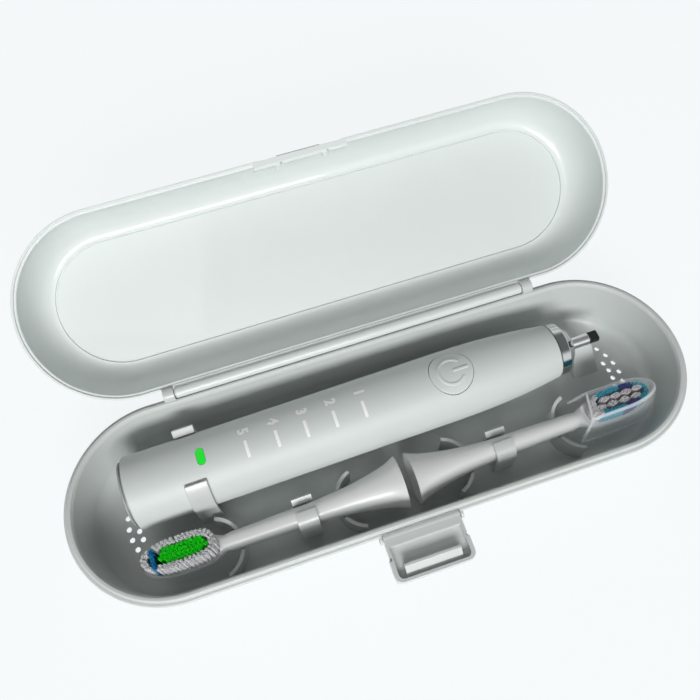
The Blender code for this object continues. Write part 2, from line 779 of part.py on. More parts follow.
def shaft_seal():
    """The soft lip ring round the drive shaft."""
    inner = SHAFT_RADIUS + FIT
    outer = inner + SEAL_WALL
    start = collar_end_x - SEAL_LENGTH
    return turned([(start, inner), (start, outer), (collar_end_x, outer), (collar_end_x, inner)], BRUSH_STEPS)


def drive_shaft():
    """The steel shaft, chamfered at its free end."""
    start = neck_x - MOTOR_FROM_NECK + FIT
    return turned([
        (start, 0), (start, SHAFT_RADIUS), (shaft_end_x - EDGE_ROUND, SHAFT_RADIUS),
        (shaft_end_x, SHAFT_RADIUS - EDGE_ROUND), (shaft_end_x, 0),
    ], SMALL_ROUND_STEPS, closed=False)


def inner_frame():
    """A half pipe that carries the cell and the motor, without its ribs."""
    start = tail_x + END_CAP_PLUG + COIL_LENGTH + 2 * FIT
    end = neck_x - COLLAR_SPIGOT - FRAME_WALL
    opening = FRAME_OPENING_ANGLE
    path = arc((0, 0), frame_radius - FRAME_WALL / 2, math.pi + opening, math.tau - opening, 2 * DOME_STEPS)
    return extrusion(strip(path, FRAME_WALL), start, end), start, end


def frame_ribs(start, end):
    """Curved ribs that seat the frame in the housing's bore."""
    bm = bmesh.new()
    opening = FRAME_OPENING_ANGLE
    straight_end = neck_x - TAPER_LENGTH - FRAME_RIB
    for share in FRAME_RIB_SHARES:
        x = start + FRAME_RIB + (straight_end - start - 2 * FRAME_RIB) * share
        outer = bore_radius - FIT
        inner = frame_radius - FRAME_WALL / 2
        path = arc((0, 0), (inner + outer) / 2, math.pi + opening, math.tau - opening, 2 * DOME_STEPS)
        join_in(bm, extrusion(strip(path, outer - inner), x, x + FRAME_RIB))
    return bm


def cell():
    """The rechargeable cell with its raised contact."""
    start = tail_x + CELL_FROM_TAIL
    end = neck_x - MOTOR_FROM_NECK - MOTOR_LENGTH - CELL_GAP - CELL_NUB
    return turned([
        (start, 0), (start, CELL_RADIUS - EDGE_ROUND), (start + EDGE_ROUND, CELL_RADIUS),
        (end - EDGE_ROUND, CELL_RADIUS), (end, CELL_RADIUS - EDGE_ROUND), (end, CELL_NUB_RADIUS),
        (end + CELL_NUB, CELL_NUB_RADIUS), (end + CELL_NUB, 0),
    ], BRUSH_STEPS, closed=False)


def motor():
    """The drive motor's can, with a stepped nose."""
    end = neck_x - MOTOR_FROM_NECK
    start = end - MOTOR_LENGTH
    return turned([
        (start, 0), (start, CELL_RADIUS - EDGE_ROUND), (start + EDGE_ROUND, CELL_RADIUS),
        (end - CELL_NUB, CELL_RADIUS), (end - CELL_NUB, CELL_NUB_RADIUS + SHAFT_RADIUS),
        (end, CELL_NUB_RADIUS + SHAFT_RADIUS), (end, 0),
    ], BRUSH_STEPS, closed=False)


def coil():
    """The charging coil on the inside of the end cap's plug."""
    start = tail_x - FIT + END_CAP_PLUG + FIT
    end = start + COIL_LENGTH
    return turned([
        (start, COIL_INNER_RADIUS), (start, COIL_OUTER_RADIUS),
        (end, COIL_OUTER_RADIUS), (end, COIL_INNER_RADIUS),
    ], BRUSH_STEPS)


# Brush heads

def brush_section(u, half_width, half_height, squareness):
    """One cross-section of a brush head, round at the stem and squarer at the head."""
    return [Vector((u, y, z)) for y, z in ellipse((0, 0), half_width, half_height, BRUSH_STEPS, squareness)]


def brush_outside(grow=0.0):
    """Sections from the head's tip back to the skirt's mouth."""
    rings = []
    head_start = BRUSH_LENGTH - HEAD_LENGTH
    for (share, width), (_, height) in zip(reversed(HEAD_WIDTH_SHARES), reversed(HEAD_THICKNESS_SHARES)):
        u = head_start + share * HEAD_LENGTH + (grow if share == 1 else 0)
        squareness = 2 + (HEAD_SQUARENESS - 2) * min(1, share / HEAD_SQUARE_FROM_SHARE)
        half_width = HEAD_HALF_WIDTH * width + grow
        rings.append(brush_section(u, half_width, HEAD_HALF_THICKNESS * height + grow, squareness))
    for share, radius in reversed(TAPER_SHARES):
        u = share * BRUSH_LENGTH - (grow if share == 0 else 0)
        rings.append(brush_section(u, SKIRT_RADIUS * radius + grow, SKIRT_RADIUS * radius + grow, 2))
    return rings


def brush_shell():
    """The whole brush head with the skirt's flared bore and the coupling's seat."""
    seat = SHAFT_RADIUS + 2 * FIT + COUPLING_WALL + FIT
    seat_end = SKIRT_BORE_DEPTH + COUPLING_LENGTH + 2 * FIT
    bore = ((0, SKIRT_BORE_RADIUS), (SKIRT_BORE_DEPTH, seat), (seat_end, seat))
    inside = [brush_section(u, radius, radius, 2) for u, radius in bore]
    return loft(brush_outside() + inside)


def coupling():
    """The metal sleeve in the skirt that grips the drive shaft."""
    start = SKIRT_BORE_DEPTH + FIT
    end = start + COUPLING_LENGTH
    inner = SHAFT_RADIUS + 2 * FIT
    outer = inner + COUPLING_WALL
    return turned([(start, inner), (start, outer), (end, outer), (end, inner)], BRUSH_STEPS)


field_u = BRUSH_LENGTH - FIELD_FROM_TIP
field_top = HEAD_HALF_THICKNESS
slice_low = field_top - FIELD_DEPTH + FIT
slice_high = slice_low + SLICE_THICKNESS
strand_pitch = TUFT_PITCH * STRAND_PITCH_SHARE
grey_half_length = FIELD_HALF_LENGTH - FIT - TUFT_PITCH - GREY_END_GAP + GREY_CENTRE_U
grey_half_width = FIELD_HALF_WIDTH - FIT - TUFT_PITCH - GREY_SIDE_GAP


def field_outline(inset):
    """The bristle field's plan outline, drawn in by an inset."""
    return ellipse((field_u, 0), FIELD_HALF_LENGTH - inset, FIELD_HALF_WIDTH - inset, 2 * SMALL_ROUND_STEPS)


def ring_tufts():
    """Tuft places evenly spaced round the field's outer row."""
    inset = FIT + TUFT_PITCH / 2
    fine = ellipse((0, 0), FIELD_HALF_LENGTH - inset, FIELD_HALF_WIDTH - inset, 360)
    lengths = [0.0]
    for here, there in zip(fine, fine[1:] + fine[:1]):
        lengths.append(lengths[-1] + math.dist(here, there))
    count = int(lengths[-1] / TUFT_PITCH)
    places = []
    for k in range(count):
        target = lengths[-1] * (k + 0.5) / count
        index = next(i for i, reached in enumerate(lengths) if reached >= target) - 1
        places.append(fine[index])
    return places


def grid_tufts(half_length, half_width, centre_u, rows, pitch):
    """Tuft places in staggered rows inside an ellipse."""
    places = []
    spread = pitch * math.sqrt(3) / 2
    for row in range(rows):
        v = (row - (rows - 1) / 2) * spread
        for k in range(-20, 21):
            u = (k + (0.5 if row % 2 else 0.0)) * pitch
            if (u / half_length) ** 2 + (v / half_width) ** 2 <= 1:
                places.append((centre_u + u, v))
    return places


def strands(tufts, count, pitch, height):
    """Three-sided bristle strands, a small grid of them at each tuft."""
    bm = bmesh.new()
    for u, v in tufts:
        for i in range(count):
            for j in range(count):
                x = field_u + u + (i - (count - 1) / 2) * pitch
                y = v + (j - (count - 1) / 2) * pitch
                foot = ellipse((x, y), STRAND_RADIUS, STRAND_RADIUS, STRAND_SIDES)
                tip_radius = STRAND_RADIUS * STRAND_TIP_SHARE
                tip = ellipse((x, y), tip_radius, tip_radius, STRAND_SIDES)
                rows = ((foot, slice_low + FIT), (tip, slice_high + height))
                join_in(bm, loft([[Vector((a, b, z)) for a, b in ring] for ring, z in rows]))
    return bm


def field_side(low_u, high_u, low_v, high_v):
    """A plan rectangle over part of the field, used to cut a slice to its share of it."""
    low_x = field_u + low_u
    high_x = field_u + high_u
    return [(low_x, low_v), (high_x, low_v), (high_x, high_v), (low_x, high_v)]


def bristle_node(name, outline, rooms, tufts, count, pitch, height, material, parent):
    """One colour's bristles on their slice of the backing, cut clear of the slices beside it."""
    obj = place(name, slab(outline, slice_low, slice_high), material, parent)
    for i, room in enumerate(rooms):
        cutter = slab(room, slice_low - OVERRUN, slice_high + OVERRUN)
        combine(obj, helper(name + "_room_" + str(i + 1), cutter, parent), "DIFFERENCE")
    combine(obj, helper(name + "_strands", strands(tufts, count, pitch, height), parent), "UNION")
    return obj


def brush_cap():
    """Outer and inner forms of the clear snap-on cover over the bristles."""
    end = BRUSH_LENGTH + CAP_OVERHANG
    start = end - CAP_LENGTH
    roof = slice_high + BRISTLE_HEIGHT + CAP_ROOF_GAP
    foot = -HEAD_HALF_THICKNESS - CAP_SKIRT_DROP
    forms = []
    outer_form = (0, foot, roof + CAP_WALL, start)
    inner_form = (CAP_WALL, foot - OVERRUN, roof, start - OVERRUN)
    for inset, low, high, back in (outer_form, inner_form):
        radius = CAP_HALF_WIDTH - inset
        nose = arc((end - CAP_HALF_WIDTH, 0), radius, -math.pi / 2, math.pi / 2, 2 * DOME_STEPS)
        outline = [(back, -radius)] + nose + [(back, radius)]
        rings = []
        for z, drawn in ((low, 0), (high - CAP_WALL, 0), (high, CAP_WALL)):
            shrink = 1 - drawn / CAP_HALF_WIDTH
            centre_u = end - CAP_HALF_WIDTH
            ring = []
            for u, v in outline:
                moved_u = centre_u + (u - centre_u) * shrink if u > centre_u else u
                ring.append(Vector((moved_u, v * shrink, z)))
            rings.append(ring)
        forms.append(loft(rings))
    return forms


def first_head_bristles(parent, green, blue, white):
    """Green in the middle, a blue row across near the tip, and white round them."""
    far = FIELD_HALF_LENGTH + OVERRUN
    side = FIELD_HALF_WIDTH + OVERRUN
    row_low = GREEN_CENTRE_U + GREEN_HALF_LENGTH + FIT
    row_high = row_low + TUFT_PITCH
    ring = ring_tufts()
    centre = (field_u + GREEN_CENTRE_U, 0)
    steps = 2 * SMALL_ROUND_STEPS
    green_slice = ellipse(centre, GREEN_HALF_LENGTH, CENTRE_HALF_WIDTH, steps)
    green_room = ellipse(centre, GREEN_HALF_LENGTH + FIT, CENTRE_HALF_WIDTH + FIT, steps)
    beyond_row = field_side(row_low - FIT, far, -side, side)
    bristle_node(
        "bristles_a_white", field_outline(FIT), (green_room, beyond_row),
        [p for p in ring if p[0] < row_low - TUFT_PITCH / 2], TUFT_COUNT, strand_pitch,
        BRISTLE_HEIGHT, white, parent,
    )
    bristle_node(
        "bristles_a_tip", field_outline(FIT), (field_side(-far, row_high + FIT, -side, side),),
        [p for p in ring if p[0] > row_high + TUFT_PITCH / 2], TUFT_COUNT, strand_pitch,
        BRISTLE_HEIGHT, white, parent,
    )
    row = [((row_low + row_high) / 2, (k - 1) * TUFT_PITCH) for k in range(3)]
    row_rooms = (field_side(-far, row_low, -side, side), field_side(row_high, far, -side, side))
    bristle_node(
        "bristles_a_blue", field_outline(FIT), row_rooms, row, TUFT_COUNT, strand_pitch,
        BRISTLE_HEIGHT, blue, parent,
    )
    middle = grid_tufts(
        GREEN_HALF_LENGTH - TUFT_PITCH / 2, CENTRE_HALF_WIDTH - TUFT_PITCH / 4, GREEN_CENTRE_U, 3, TUFT_PITCH
    )
    bristle_node(
        "bristles_a_green", green_slice, (), middle, TUFT_COUNT, strand_pitch,
        BRISTLE_HEIGHT - TUFT_STEP, green, parent,
    )


def second_head_bristles(parent, grey, teal, navy):
    """Grey tufts in the middle, teal round them, and a navy stretch on each long side."""
    far = FIELD_HALF_LENGTH + OVERRUN
    side = FIELD_HALF_WIDTH + OVERRUN
    ring = ring_tufts()
    centre = (field_u + GREY_CENTRE_U, 0)
    steps = 2 * SMALL_ROUND_STEPS
    grey_slice = ellipse(centre, grey_half_length, grey_half_width, steps, GREY_SQUARENESS)
    grey_room = ellipse(centre, grey_half_length + FIT, grey_half_width + FIT, steps, GREY_SQUARENESS)
    margin = TUFT_PITCH / 2
    bristle_node(
        "bristles_b_teal", field_outline(FIT), (grey_room, field_side(NAVY_LOW_U - FIT, far, -side, side)),
        [p for p in ring if p[0] < NAVY_LOW_U - margin], TUFT_COUNT, strand_pitch,
        BRISTLE_HEIGHT, teal, parent,
    )
    bristle_node(
        "bristles_b_tip", field_outline(FIT), (grey_room, field_side(-far, NAVY_HIGH_U + FIT, -side, side)),
        [p for p in ring if p[0] > NAVY_HIGH_U + margin], TUFT_COUNT, strand_pitch,
        BRISTLE_HEIGHT, teal, parent,
    )
    for name, low_v, high_v, sign in (("rear", -side, 0, 1), ("front", 0, side, -1)):
        rooms = (
            grey_room, field_side(-far, NAVY_LOW_U, -side, side), field_side(NAVY_HIGH_U, far, -side, side),
            field_side(-far, far, low_v, high_v),
        )
        tufts = [p for p in ring if NAVY_LOW_U + margin < p[0] < NAVY_HIGH_U - margin and p[1] * sign > 0]
        bristle_node(
            "bristles_b_navy_" + name, field_outline(FIT), rooms, tufts, TUFT_COUNT, strand_pitch,
            BRISTLE_HEIGHT, navy, parent,
        )
    row_v = (grey_half_width + FIT) / 2
    pitch = grey_half_length * GREY_TUFT_PITCH_SHARE
    middle = [(GREY_CENTRE_U + (k + 0.5) * pitch, -row_v) for k in range(-2, 2)]
    middle += [(GREY_CENTRE_U + k * pitch, row_v) for k in range(-1, 2)]
    bristle_node(
        "bristles_b_grey", grey_slice, (), middle, GREY_TUFT_COUNT, grey_half_width * GREY_STRAND_PITCH_SHARE,
        BRISTLE_HEIGHT - TUFT_STEP, grey, parent
    )


def build():
    """Make every piece."""
    clear_scene()

    case_plastic = finish("case plastic", (0.86, 0.88, 0.87), 0.32)
    handle_plastic = finish("handle plastic", (0.80, 0.82, 0.81), 0.40)
    brush_plastic = finish("brush plastic", (0.84, 0.85, 0.84), 0.30)
    chrome = finish("chrome", (0.75, 0.76, 0.77), 0.08, 1.0)
    steel = finish("steel", (0.55, 0.56, 0.57), 0.3, 1.0)
    rubber = finish("rubber", (0.10, 0.10, 0.11), 0.7)
    lamp_green = finish("lamp green", (0.02, 0.75, 0.04), 0.3)
    board_green = finish("board green", (0.03, 0.25, 0.10), 0.5)
    copper = finish("copper", (0.72, 0.38, 0.18), 0.35, 1.0)
    cell_wrap = finish("cell wrap", (0.10, 0.25, 0.55), 0.4)
    frame_plastic = finish("frame plastic", (0.12, 0.12, 0.13), 0.5)
    bristle_white = finish("white bristles", (0.78, 0.76, 0.79), 0.45)
    bristle_green = finish("green bristles", (0.02, 0.62, 0.03), 0.45)
    bristle_blue = finish("blue bristles", (0.01, 0.22, 0.50), 0.45)
    bristle_grey = finish("grey bristles", (0.66, 0.64, 0.67), 0.45)
    bristle_teal = finish("teal bristles", (0.01, 0.42, 0.55), 0.45)
    bristle_navy = finish("navy bristles", (0.01, 0.04, 0.25), 0.45)
    clear_plastic = finish("clear plastic", (0.85, 0.90, 0.90), 0.05, 0.0, 0.25)

    nest = axis_empty("nest", (0, 0, 0), (0, 0, NEST_TURN))
    handle_axis = axis_empty("handle_axis", (0, handle_y, handle_z), parent=nest)
    mouth_a = brush_centre_x - SKIRT_GAP / 2
    mouth_b = brush_centre_x + SKIRT_GAP / 2
    brush_a_axis = axis_empty("brush_a_axis", (mouth_a, brush_y, brush_z), (0, 0, math.pi), nest)
    brush_b_axis = axis_empty("brush_b_axis", (mouth_b, brush_y, brush_z), parent=nest)
    hinge_axis = axis_empty("hinge_axis", (0, hinge_y, BASE_HEIGHT), (-LID_OPEN_ANGLE, 0, 0))
    latch_axis = axis_empty("latch_axis", (LATCH_X, latch_y, latch_z))

    # Base shell with its ribs, block, lugs and ears
    base = place("base_shell", loft(base_rings()), case_plastic)
    combine(base, helper("vent_cutter", vents()), "DIFFERENCE")
    groove_reach = BARREL_HALF_LENGTH + FIT / 2
    groove = rod(-groove_reach, groove_reach, BARREL_GROOVE_RADIUS)
    hinge_spot = (0, hinge_y, BASE_HEIGHT)
    combine(base, helper("groove_cutter", groove, spot=hinge_spot), "DIFFERENCE")
    relief_reach = LATCH_HALF_WIDTH + 2 * FIT
    relief = block(
        (LATCH_X - relief_reach, -lip_radius - OVERRUN, latch_z - LATCH_UNDERSIDE),
        (LATCH_X + relief_reach, -rim_radius - FIT, BASE_HEIGHT - FIT),
    )
    combine(base, helper("latch_relief_cutter", relief), "DIFFERENCE")
    ribs = helper("saddle_ribs", saddle_ribs(), nest)
    for name, parent in (("brush_room_a", brush_a_axis), ("brush_room_b", brush_b_axis)):
        combine(ribs, helper(name, loft(brush_outside(RIB_CLEARANCE)), parent), "DIFFERENCE")
    combine(base, ribs, "UNION")
    combine(base, helper("shaft_block", shaft_block(), nest), "UNION")
    lugs = helper("hinge_lugs", hinge_lugs(LUG_RADIUS, 0, 0), spot=hinge_spot)
    lug_bore = hinge_lugs(HINGE_PIN_RADIUS, FIT, FIT)
    combine(lugs, helper("lug_bore_cutter", lug_bore, spot=hinge_spot), "DIFFERENCE")
    combine(base, lugs, "UNION")
    latch_spot = (LATCH_X, latch_y, latch_z)
    combine(base, helper("latch_ears", latch_ears(), spot=latch_spot), "UNION")
    ear_end = LATCH_HALF_WIDTH + FIT + EAR_THICKNESS + FIT
    ear_bore = rod(-ear_end, ear_end, LATCH_PIN_RADIUS + FIT)
    combine(base, helper("ear_bore_cutter", ear_bore, spot=latch_spot), "DIFFERENCE")

    # Snap clips on the floor
    grip_share = blend(TAPER_SHARES, (NECK_CLIP_FROM_CENTRE - NECK_CLIP_WIDTH) / BRUSH_LENGTH)
    stem_grip = SKIRT_RADIUS * grip_share + FIT
    neck_outline = clip_outline(
        stem_grip, NECK_CLIP_THICKNESS, brush_z - floor_top - FIT,
        NECK_CLIP_TIP_ANGLE, NECK_CLIP_FLARE_ANGLE, NECK_CLIP_FLARE,
    )
    half = NECK_CLIP_WIDTH / 2
    for name, side in (("neck_clip_a", -1), ("neck_clip_b", 1)):
        x = NEST_CENTRE_X + side * NECK_CLIP_FROM_CENTRE
        place(name, extrusion(neck_outline, -half, half), case_plastic, nest, (x, brush_y, brush_z))
    handle_outline = clip_outline(
        HANDLE_RADIUS + FIT, HANDLE_CLIP_THICKNESS, handle_z - floor_top - FIT,
        HANDLE_CLIP_TIP_ANGLE, HANDLE_CLIP_FLARE_ANGLE, HANDLE_CLIP_FLARE,
    )
    half = HANDLE_CLIP_WIDTH / 2
    clip_x = tail_x + HANDLE_CLIP_FROM_TAIL - END_CAP_LENGTH - FIT
    clip_spot = (clip_x, handle_y, handle_z)
    place("handle_clip", extrusion(handle_outline, -half, half), case_plastic, nest, clip_spot)

    # Lid
    lid = place("lid_shell", loft(lid_rings()), case_plastic, hinge_axis)
    clearance = hinge_lugs(LUG_RADIUS, FIT, FIT)
    combine(lid, helper("lug_room_cutter", clearance, hinge_axis), "DIFFERENCE")
    front = -hinge_y - rim_radius
    pad_high = min(POCKET_HEIGHT, LID_DEPTH / 2)
    pad = block(
        (LATCH_X - POCKET_HALF_WIDTH, front + WALL / 2, FIT * 2),
        (LATCH_X + POCKET_HALF_WIDTH, front + POCKET_DEPTH + LID_WALL, pad_high),
    )
    combine(lid, helper("pocket_pad", pad, hinge_axis), "UNION")
    pocket = block(
        (LATCH_X - POCKET_HALF_WIDTH + LID_WALL, front - OVERRUN, -OVERRUN),
        (LATCH_X + POCKET_HALF_WIDTH - LID_WALL, front + POCKET_DEPTH, POCKET_HEIGHT),
    )
    combine(lid, helper("pocket_cutter", pocket, hinge_axis), "DIFFERENCE")
    combine(lid, helper("latch_ridge", latch_ridge(), hinge_axis), "UNION")
    combine(lid, helper("lid_catches", lid_catches(), hinge_axis), "UNION")
    combine(lid, helper("lid_web", lid_web(), hinge_axis), "UNION")
    combine(lid, helper("lid_knuckle", lid_knuckle(), hinge_axis), "UNION")

    # Latch
    flap = place("latch_flap", slab(latch_plan(), -LATCH_UNDERSIDE, LATCH_TOP), case_plastic, latch_axis)
    inner_edge = block(
        (-LATCH_HALF_WIDTH - OVERRUN, -LATCH_HUB_RADIUS, -LATCH_UNDERSIDE - OVERRUN),
        (LATCH_HALF_WIDTH + OVERRUN, OVERRUN, LATCH_TOP - LATCH_FLOOR),
    )
    combine(flap, helper("latch_heel_cutter", inner_edge, latch_axis), "DIFFERENCE")
    combine(flap, helper("latch_recess_cutter", latch_recess(), latch_axis), "DIFFERENCE")
    combine(flap, helper("latch_hook", latch_hook(), latch_axis), "UNION")
    pin_end = LATCH_HALF_WIDTH + EAR_THICKNESS
    hub = turned([
        (-pin_end, 0), (-pin_end, LATCH_PIN_RADIUS), (-LATCH_HALF_WIDTH, LATCH_PIN_RADIUS),
        (-LATCH_HALF_WIDTH, LATCH_HUB_RADIUS), (LATCH_HALF_WIDTH, LATCH_HUB_RADIUS),
        (LATCH_HALF_WIDTH, LATCH_PIN_RADIUS), (pin_end, LATCH_PIN_RADIUS), (pin_end, 0),
    ], SMALL_ROUND_STEPS, closed=False)
    combine(flap, helper("latch_hub", hub, latch_axis), "UNION")

    # Handle
    body = place("handle_housing", housing(), handle_plastic, handle_axis)
    hole_radius = BUTTON_RADIUS + FIT
    hole_outline = ellipse((button_x, 0), hole_radius, hole_radius, ROUND_STEPS)
    hole = slab(hole_outline, CELL_RADIUS, HANDLE_RADIUS + OVERRUN)
    combine(body, helper("button_hole_cutter", hole, handle_axis), "DIFFERENCE")
    lamp_x = tail_x + LAMP_FROM_TAIL
    window_outline = pill(lamp_x, LAMP_WIDTH + 2 * FIT, LAMP_LENGTH + 2 * FIT)
    window = slab(window_outline, CELL_RADIUS, HANDLE_RADIUS + OVERRUN)
    combine(body, helper("lamp_window_cutter", window, handle_axis), "DIFFERENCE")
    lamp_outline = pill(lamp_x, LAMP_WIDTH, LAMP_LENGTH)
    plug, ring = wall_patch(lamp_outline, HANDLE_RADIUS - LAMP_THICKNESS, HANDLE_RADIUS)
    lamp = place("led_lens", plug, lamp_green, handle_axis)
    combine(lamp, helper("lamp_ring", ring, handle_axis), "INTERSECT")
    outer = HANDLE_RADIUS + BUTTON_PROUD
    button_outline = ellipse((button_x, 0), BUTTON_RADIUS, BUTTON_RADIUS, ROUND_STEPS)
    plug, ring = wall_patch(button_outline, outer - BUTTON_SKIN, outer)
    button = place("power_button", plug, handle_plastic, handle_axis)
    combine(button, helper("button_ring", ring, handle_axis), "INTERSECT")
    switch_top = board_z + BOARD_THICKNESS + FIT + SWITCH_HEIGHT
    stem_outline = ellipse((button_x, 0), BUTTON_STEM_RADIUS, BUTTON_STEM_RADIUS)
    stem = slab(stem_outline, switch_top + BUTTON_TRAVEL + FIT, outer - BUTTON_SKIN / 2)
    combine(button, helper("button_stem", stem, handle_axis), "UNION")
    place("end_cap", end_cap(), handle_plastic, handle_axis)
    place("end_cap_gasket", end_cap_gasket(), rubber, handle_axis)
    place("chrome_collar", collar(), chrome, handle_axis)
    place("shaft_seal", shaft_seal(), rubber, handle_axis)
    shaft = place("drive_shaft", drive_shaft(), steel, handle_axis)
    flat = block(
        (shaft_end_x - SHAFT_FLAT_LENGTH, -SHAFT_RADIUS - OVERRUN, SHAFT_FLAT_HEIGHT),
        (shaft_end_x + OVERRUN, SHAFT_RADIUS + OVERRUN, SHAFT_RADIUS + OVERRUN),
    )
    combine(shaft, helper("shaft_flat_cutter", flat, handle_axis), "DIFFERENCE")
    pipe, start, end = inner_frame()
    frame = place("inner_frame", pipe, frame_plastic, handle_axis)
    combine(frame, helper("frame_ribs", frame_ribs(start, end), handle_axis), "UNION")
    place("battery_cell", cell(), cell_wrap, handle_axis)
    place("drive_motor", motor(), steel, handle_axis)
    place("charging_coil", coil(), copper, handle_axis)
    board = block(
        (start, -BOARD_WIDTH / 2, board_z),
        (button_x + BUTTON_RADIUS, BOARD_WIDTH / 2, board_z + BOARD_THICKNESS),
    )
    place("circuit_board", board, board_green, handle_axis)
    switch = block(
        (button_x - SWITCH_SIZE / 2, -SWITCH_SIZE / 2, board_z + BOARD_THICKNESS + FIT),
        (button_x + SWITCH_SIZE / 2, SWITCH_SIZE / 2, switch_top),
    )
    place("button_switch", switch, steel, handle_axis)

    # Brush heads
    for letter, parent in (("a", brush_a_axis), ("b", brush_b_axis)):
        head = place("brush_head_" + letter, brush_shell(), brush_plastic, parent)
        pocket = slab(field_outline(0), field_top - FIELD_DEPTH, field_top + OVERRUN)
        combine(head, helper("field_cutter_" + letter, pocket, parent), "DIFFERENCE")
        place("shaft_coupling_" + letter, coupling(), steel, parent)

    first_head_bristles(brush_a_axis, bristle_green, bristle_blue, bristle_white)
    second_head_bristles(brush_b_axis, bristle_grey, bristle_teal, bristle_navy)
    outer_form, inner_form = brush_cap()
    cap = place("travel_cap", outer_form, clear_plastic, brush_b_axis)
    combine(cap, helper("cap_room_cutter", inner_form, brush_b_axis), "DIFFERENCE")


build()
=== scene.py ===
import json
import math

import bmesh
import bpy
from mathutils import Matrix, Vector


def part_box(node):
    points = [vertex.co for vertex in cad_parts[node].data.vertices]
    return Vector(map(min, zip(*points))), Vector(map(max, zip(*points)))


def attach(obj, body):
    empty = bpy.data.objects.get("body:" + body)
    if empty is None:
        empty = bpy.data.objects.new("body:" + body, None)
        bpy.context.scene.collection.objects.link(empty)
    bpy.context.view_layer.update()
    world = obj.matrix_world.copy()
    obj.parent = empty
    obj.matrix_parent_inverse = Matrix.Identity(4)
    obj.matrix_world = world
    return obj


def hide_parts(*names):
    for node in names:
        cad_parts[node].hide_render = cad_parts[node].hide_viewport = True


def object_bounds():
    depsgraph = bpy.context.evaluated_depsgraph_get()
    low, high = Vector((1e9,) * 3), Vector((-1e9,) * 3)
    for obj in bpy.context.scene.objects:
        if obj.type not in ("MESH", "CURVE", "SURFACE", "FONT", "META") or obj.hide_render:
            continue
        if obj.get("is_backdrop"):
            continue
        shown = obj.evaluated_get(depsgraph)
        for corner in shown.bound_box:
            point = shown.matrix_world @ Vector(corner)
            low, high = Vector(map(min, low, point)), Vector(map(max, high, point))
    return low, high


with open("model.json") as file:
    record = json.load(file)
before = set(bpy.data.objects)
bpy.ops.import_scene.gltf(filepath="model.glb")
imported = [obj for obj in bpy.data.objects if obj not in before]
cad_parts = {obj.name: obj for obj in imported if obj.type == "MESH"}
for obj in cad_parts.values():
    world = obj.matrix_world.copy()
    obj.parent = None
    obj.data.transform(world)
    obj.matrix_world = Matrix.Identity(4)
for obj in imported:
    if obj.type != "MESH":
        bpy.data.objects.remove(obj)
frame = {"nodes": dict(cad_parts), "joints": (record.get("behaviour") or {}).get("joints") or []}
cad_low, cad_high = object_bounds()
joints = {joint["name"]: joint for joint in frame["joints"]}

# The photographer's camera
# It looks down on the open case from the front left, close enough for the far end to look smaller. All
# lengths in this file are metres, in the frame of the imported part: X along the case, Y towards the hinge,
# Z up from the underside.
PHOTO_AZIMUTH = math.radians(-15.16)
PHOTO_ELEVATION = math.radians(63.58)
PHOTO_ROLL = math.radians(-3.41)
PHOTO_DISTANCE = 0.27726
PHOTO_TARGET = Vector((-0.0019, 0.03302, 0.022))
PHOTO_LENS_MM = 38.78


def placed(name, data):
    """A new object in the scene."""
    made = bpy.data.objects.new(name, data)
    bpy.context.scene.collection.objects.link(made)
    return made


forward = Vector((
    -math.sin(PHOTO_AZIMUTH) * math.cos(PHOTO_ELEVATION),
    math.cos(PHOTO_AZIMUTH) * math.cos(PHOTO_ELEVATION),
    -math.sin(PHOTO_ELEVATION),
))
level = Vector((math.cos(PHOTO_AZIMUTH), math.sin(PHOTO_AZIMUTH), 0))
upright = level.cross(forward)
right = level * math.cos(PHOTO_ROLL) + upright * math.sin(PHOTO_ROLL)
top = upright * math.cos(PHOTO_ROLL) - level * math.sin(PHOTO_ROLL)
camera = placed("photo_camera", bpy.data.cameras.new("photo_camera"))
camera.matrix_world = Matrix.Translation(PHOTO_TARGET - forward * PHOTO_DISTANCE) @ Matrix(
    (right, top, -forward)
).transposed().to_4x4()
camera.data.lens = PHOTO_LENS_MM
camera.data.sensor_width = 36
camera.data.clip_start = 0.01
camera.data.clip_end = 20
bpy.context.scene.camera = camera

# The studio: a pale sweep, a sky of the same colour and three soft lamps
# The key stands low in front, a wide panel behind the camera shows as the pale window in the lid, and a
# weak lamp over the hinge keeps the dark walls open. Camera, mirror and clear-plastic rays see the sweep's
# own pale colour, and mirror rays see the dim ceiling overhead.
PAPER = (0.905, 0.939, 0.965, 1)
PAPER_GLOW = (0.955, 0.990, 1.0, 1)
PAPER_SHARE = 0.90
SKY_STRENGTH = 0.160
CEILING_TONE = (0.16, 0.17, 0.17, 1)
CEILING_HEIGHT_SHARES = (0.42, 0.72)


class Signal:
    """A value in a node tree whose maths is written with plain operators."""

    def __init__(self, wiring, socket):
        self.wiring = wiring
        self.socket = socket

    def __add__(self, other):
        return self.wiring.maths("ADD", self, other)

    def __sub__(self, other):
        return self.wiring.maths("SUBTRACT", self, other)

    def __rsub__(self, other):
        return self.wiring.maths("SUBTRACT", other, self)

    def __mul__(self, other):
        return self.wiring.maths("MULTIPLY", self, other)

    def __truediv__(self, other):
        return self.wiring.maths("DIVIDE", self, other)

    __radd__ = __add__
    __rmul__ = __mul__


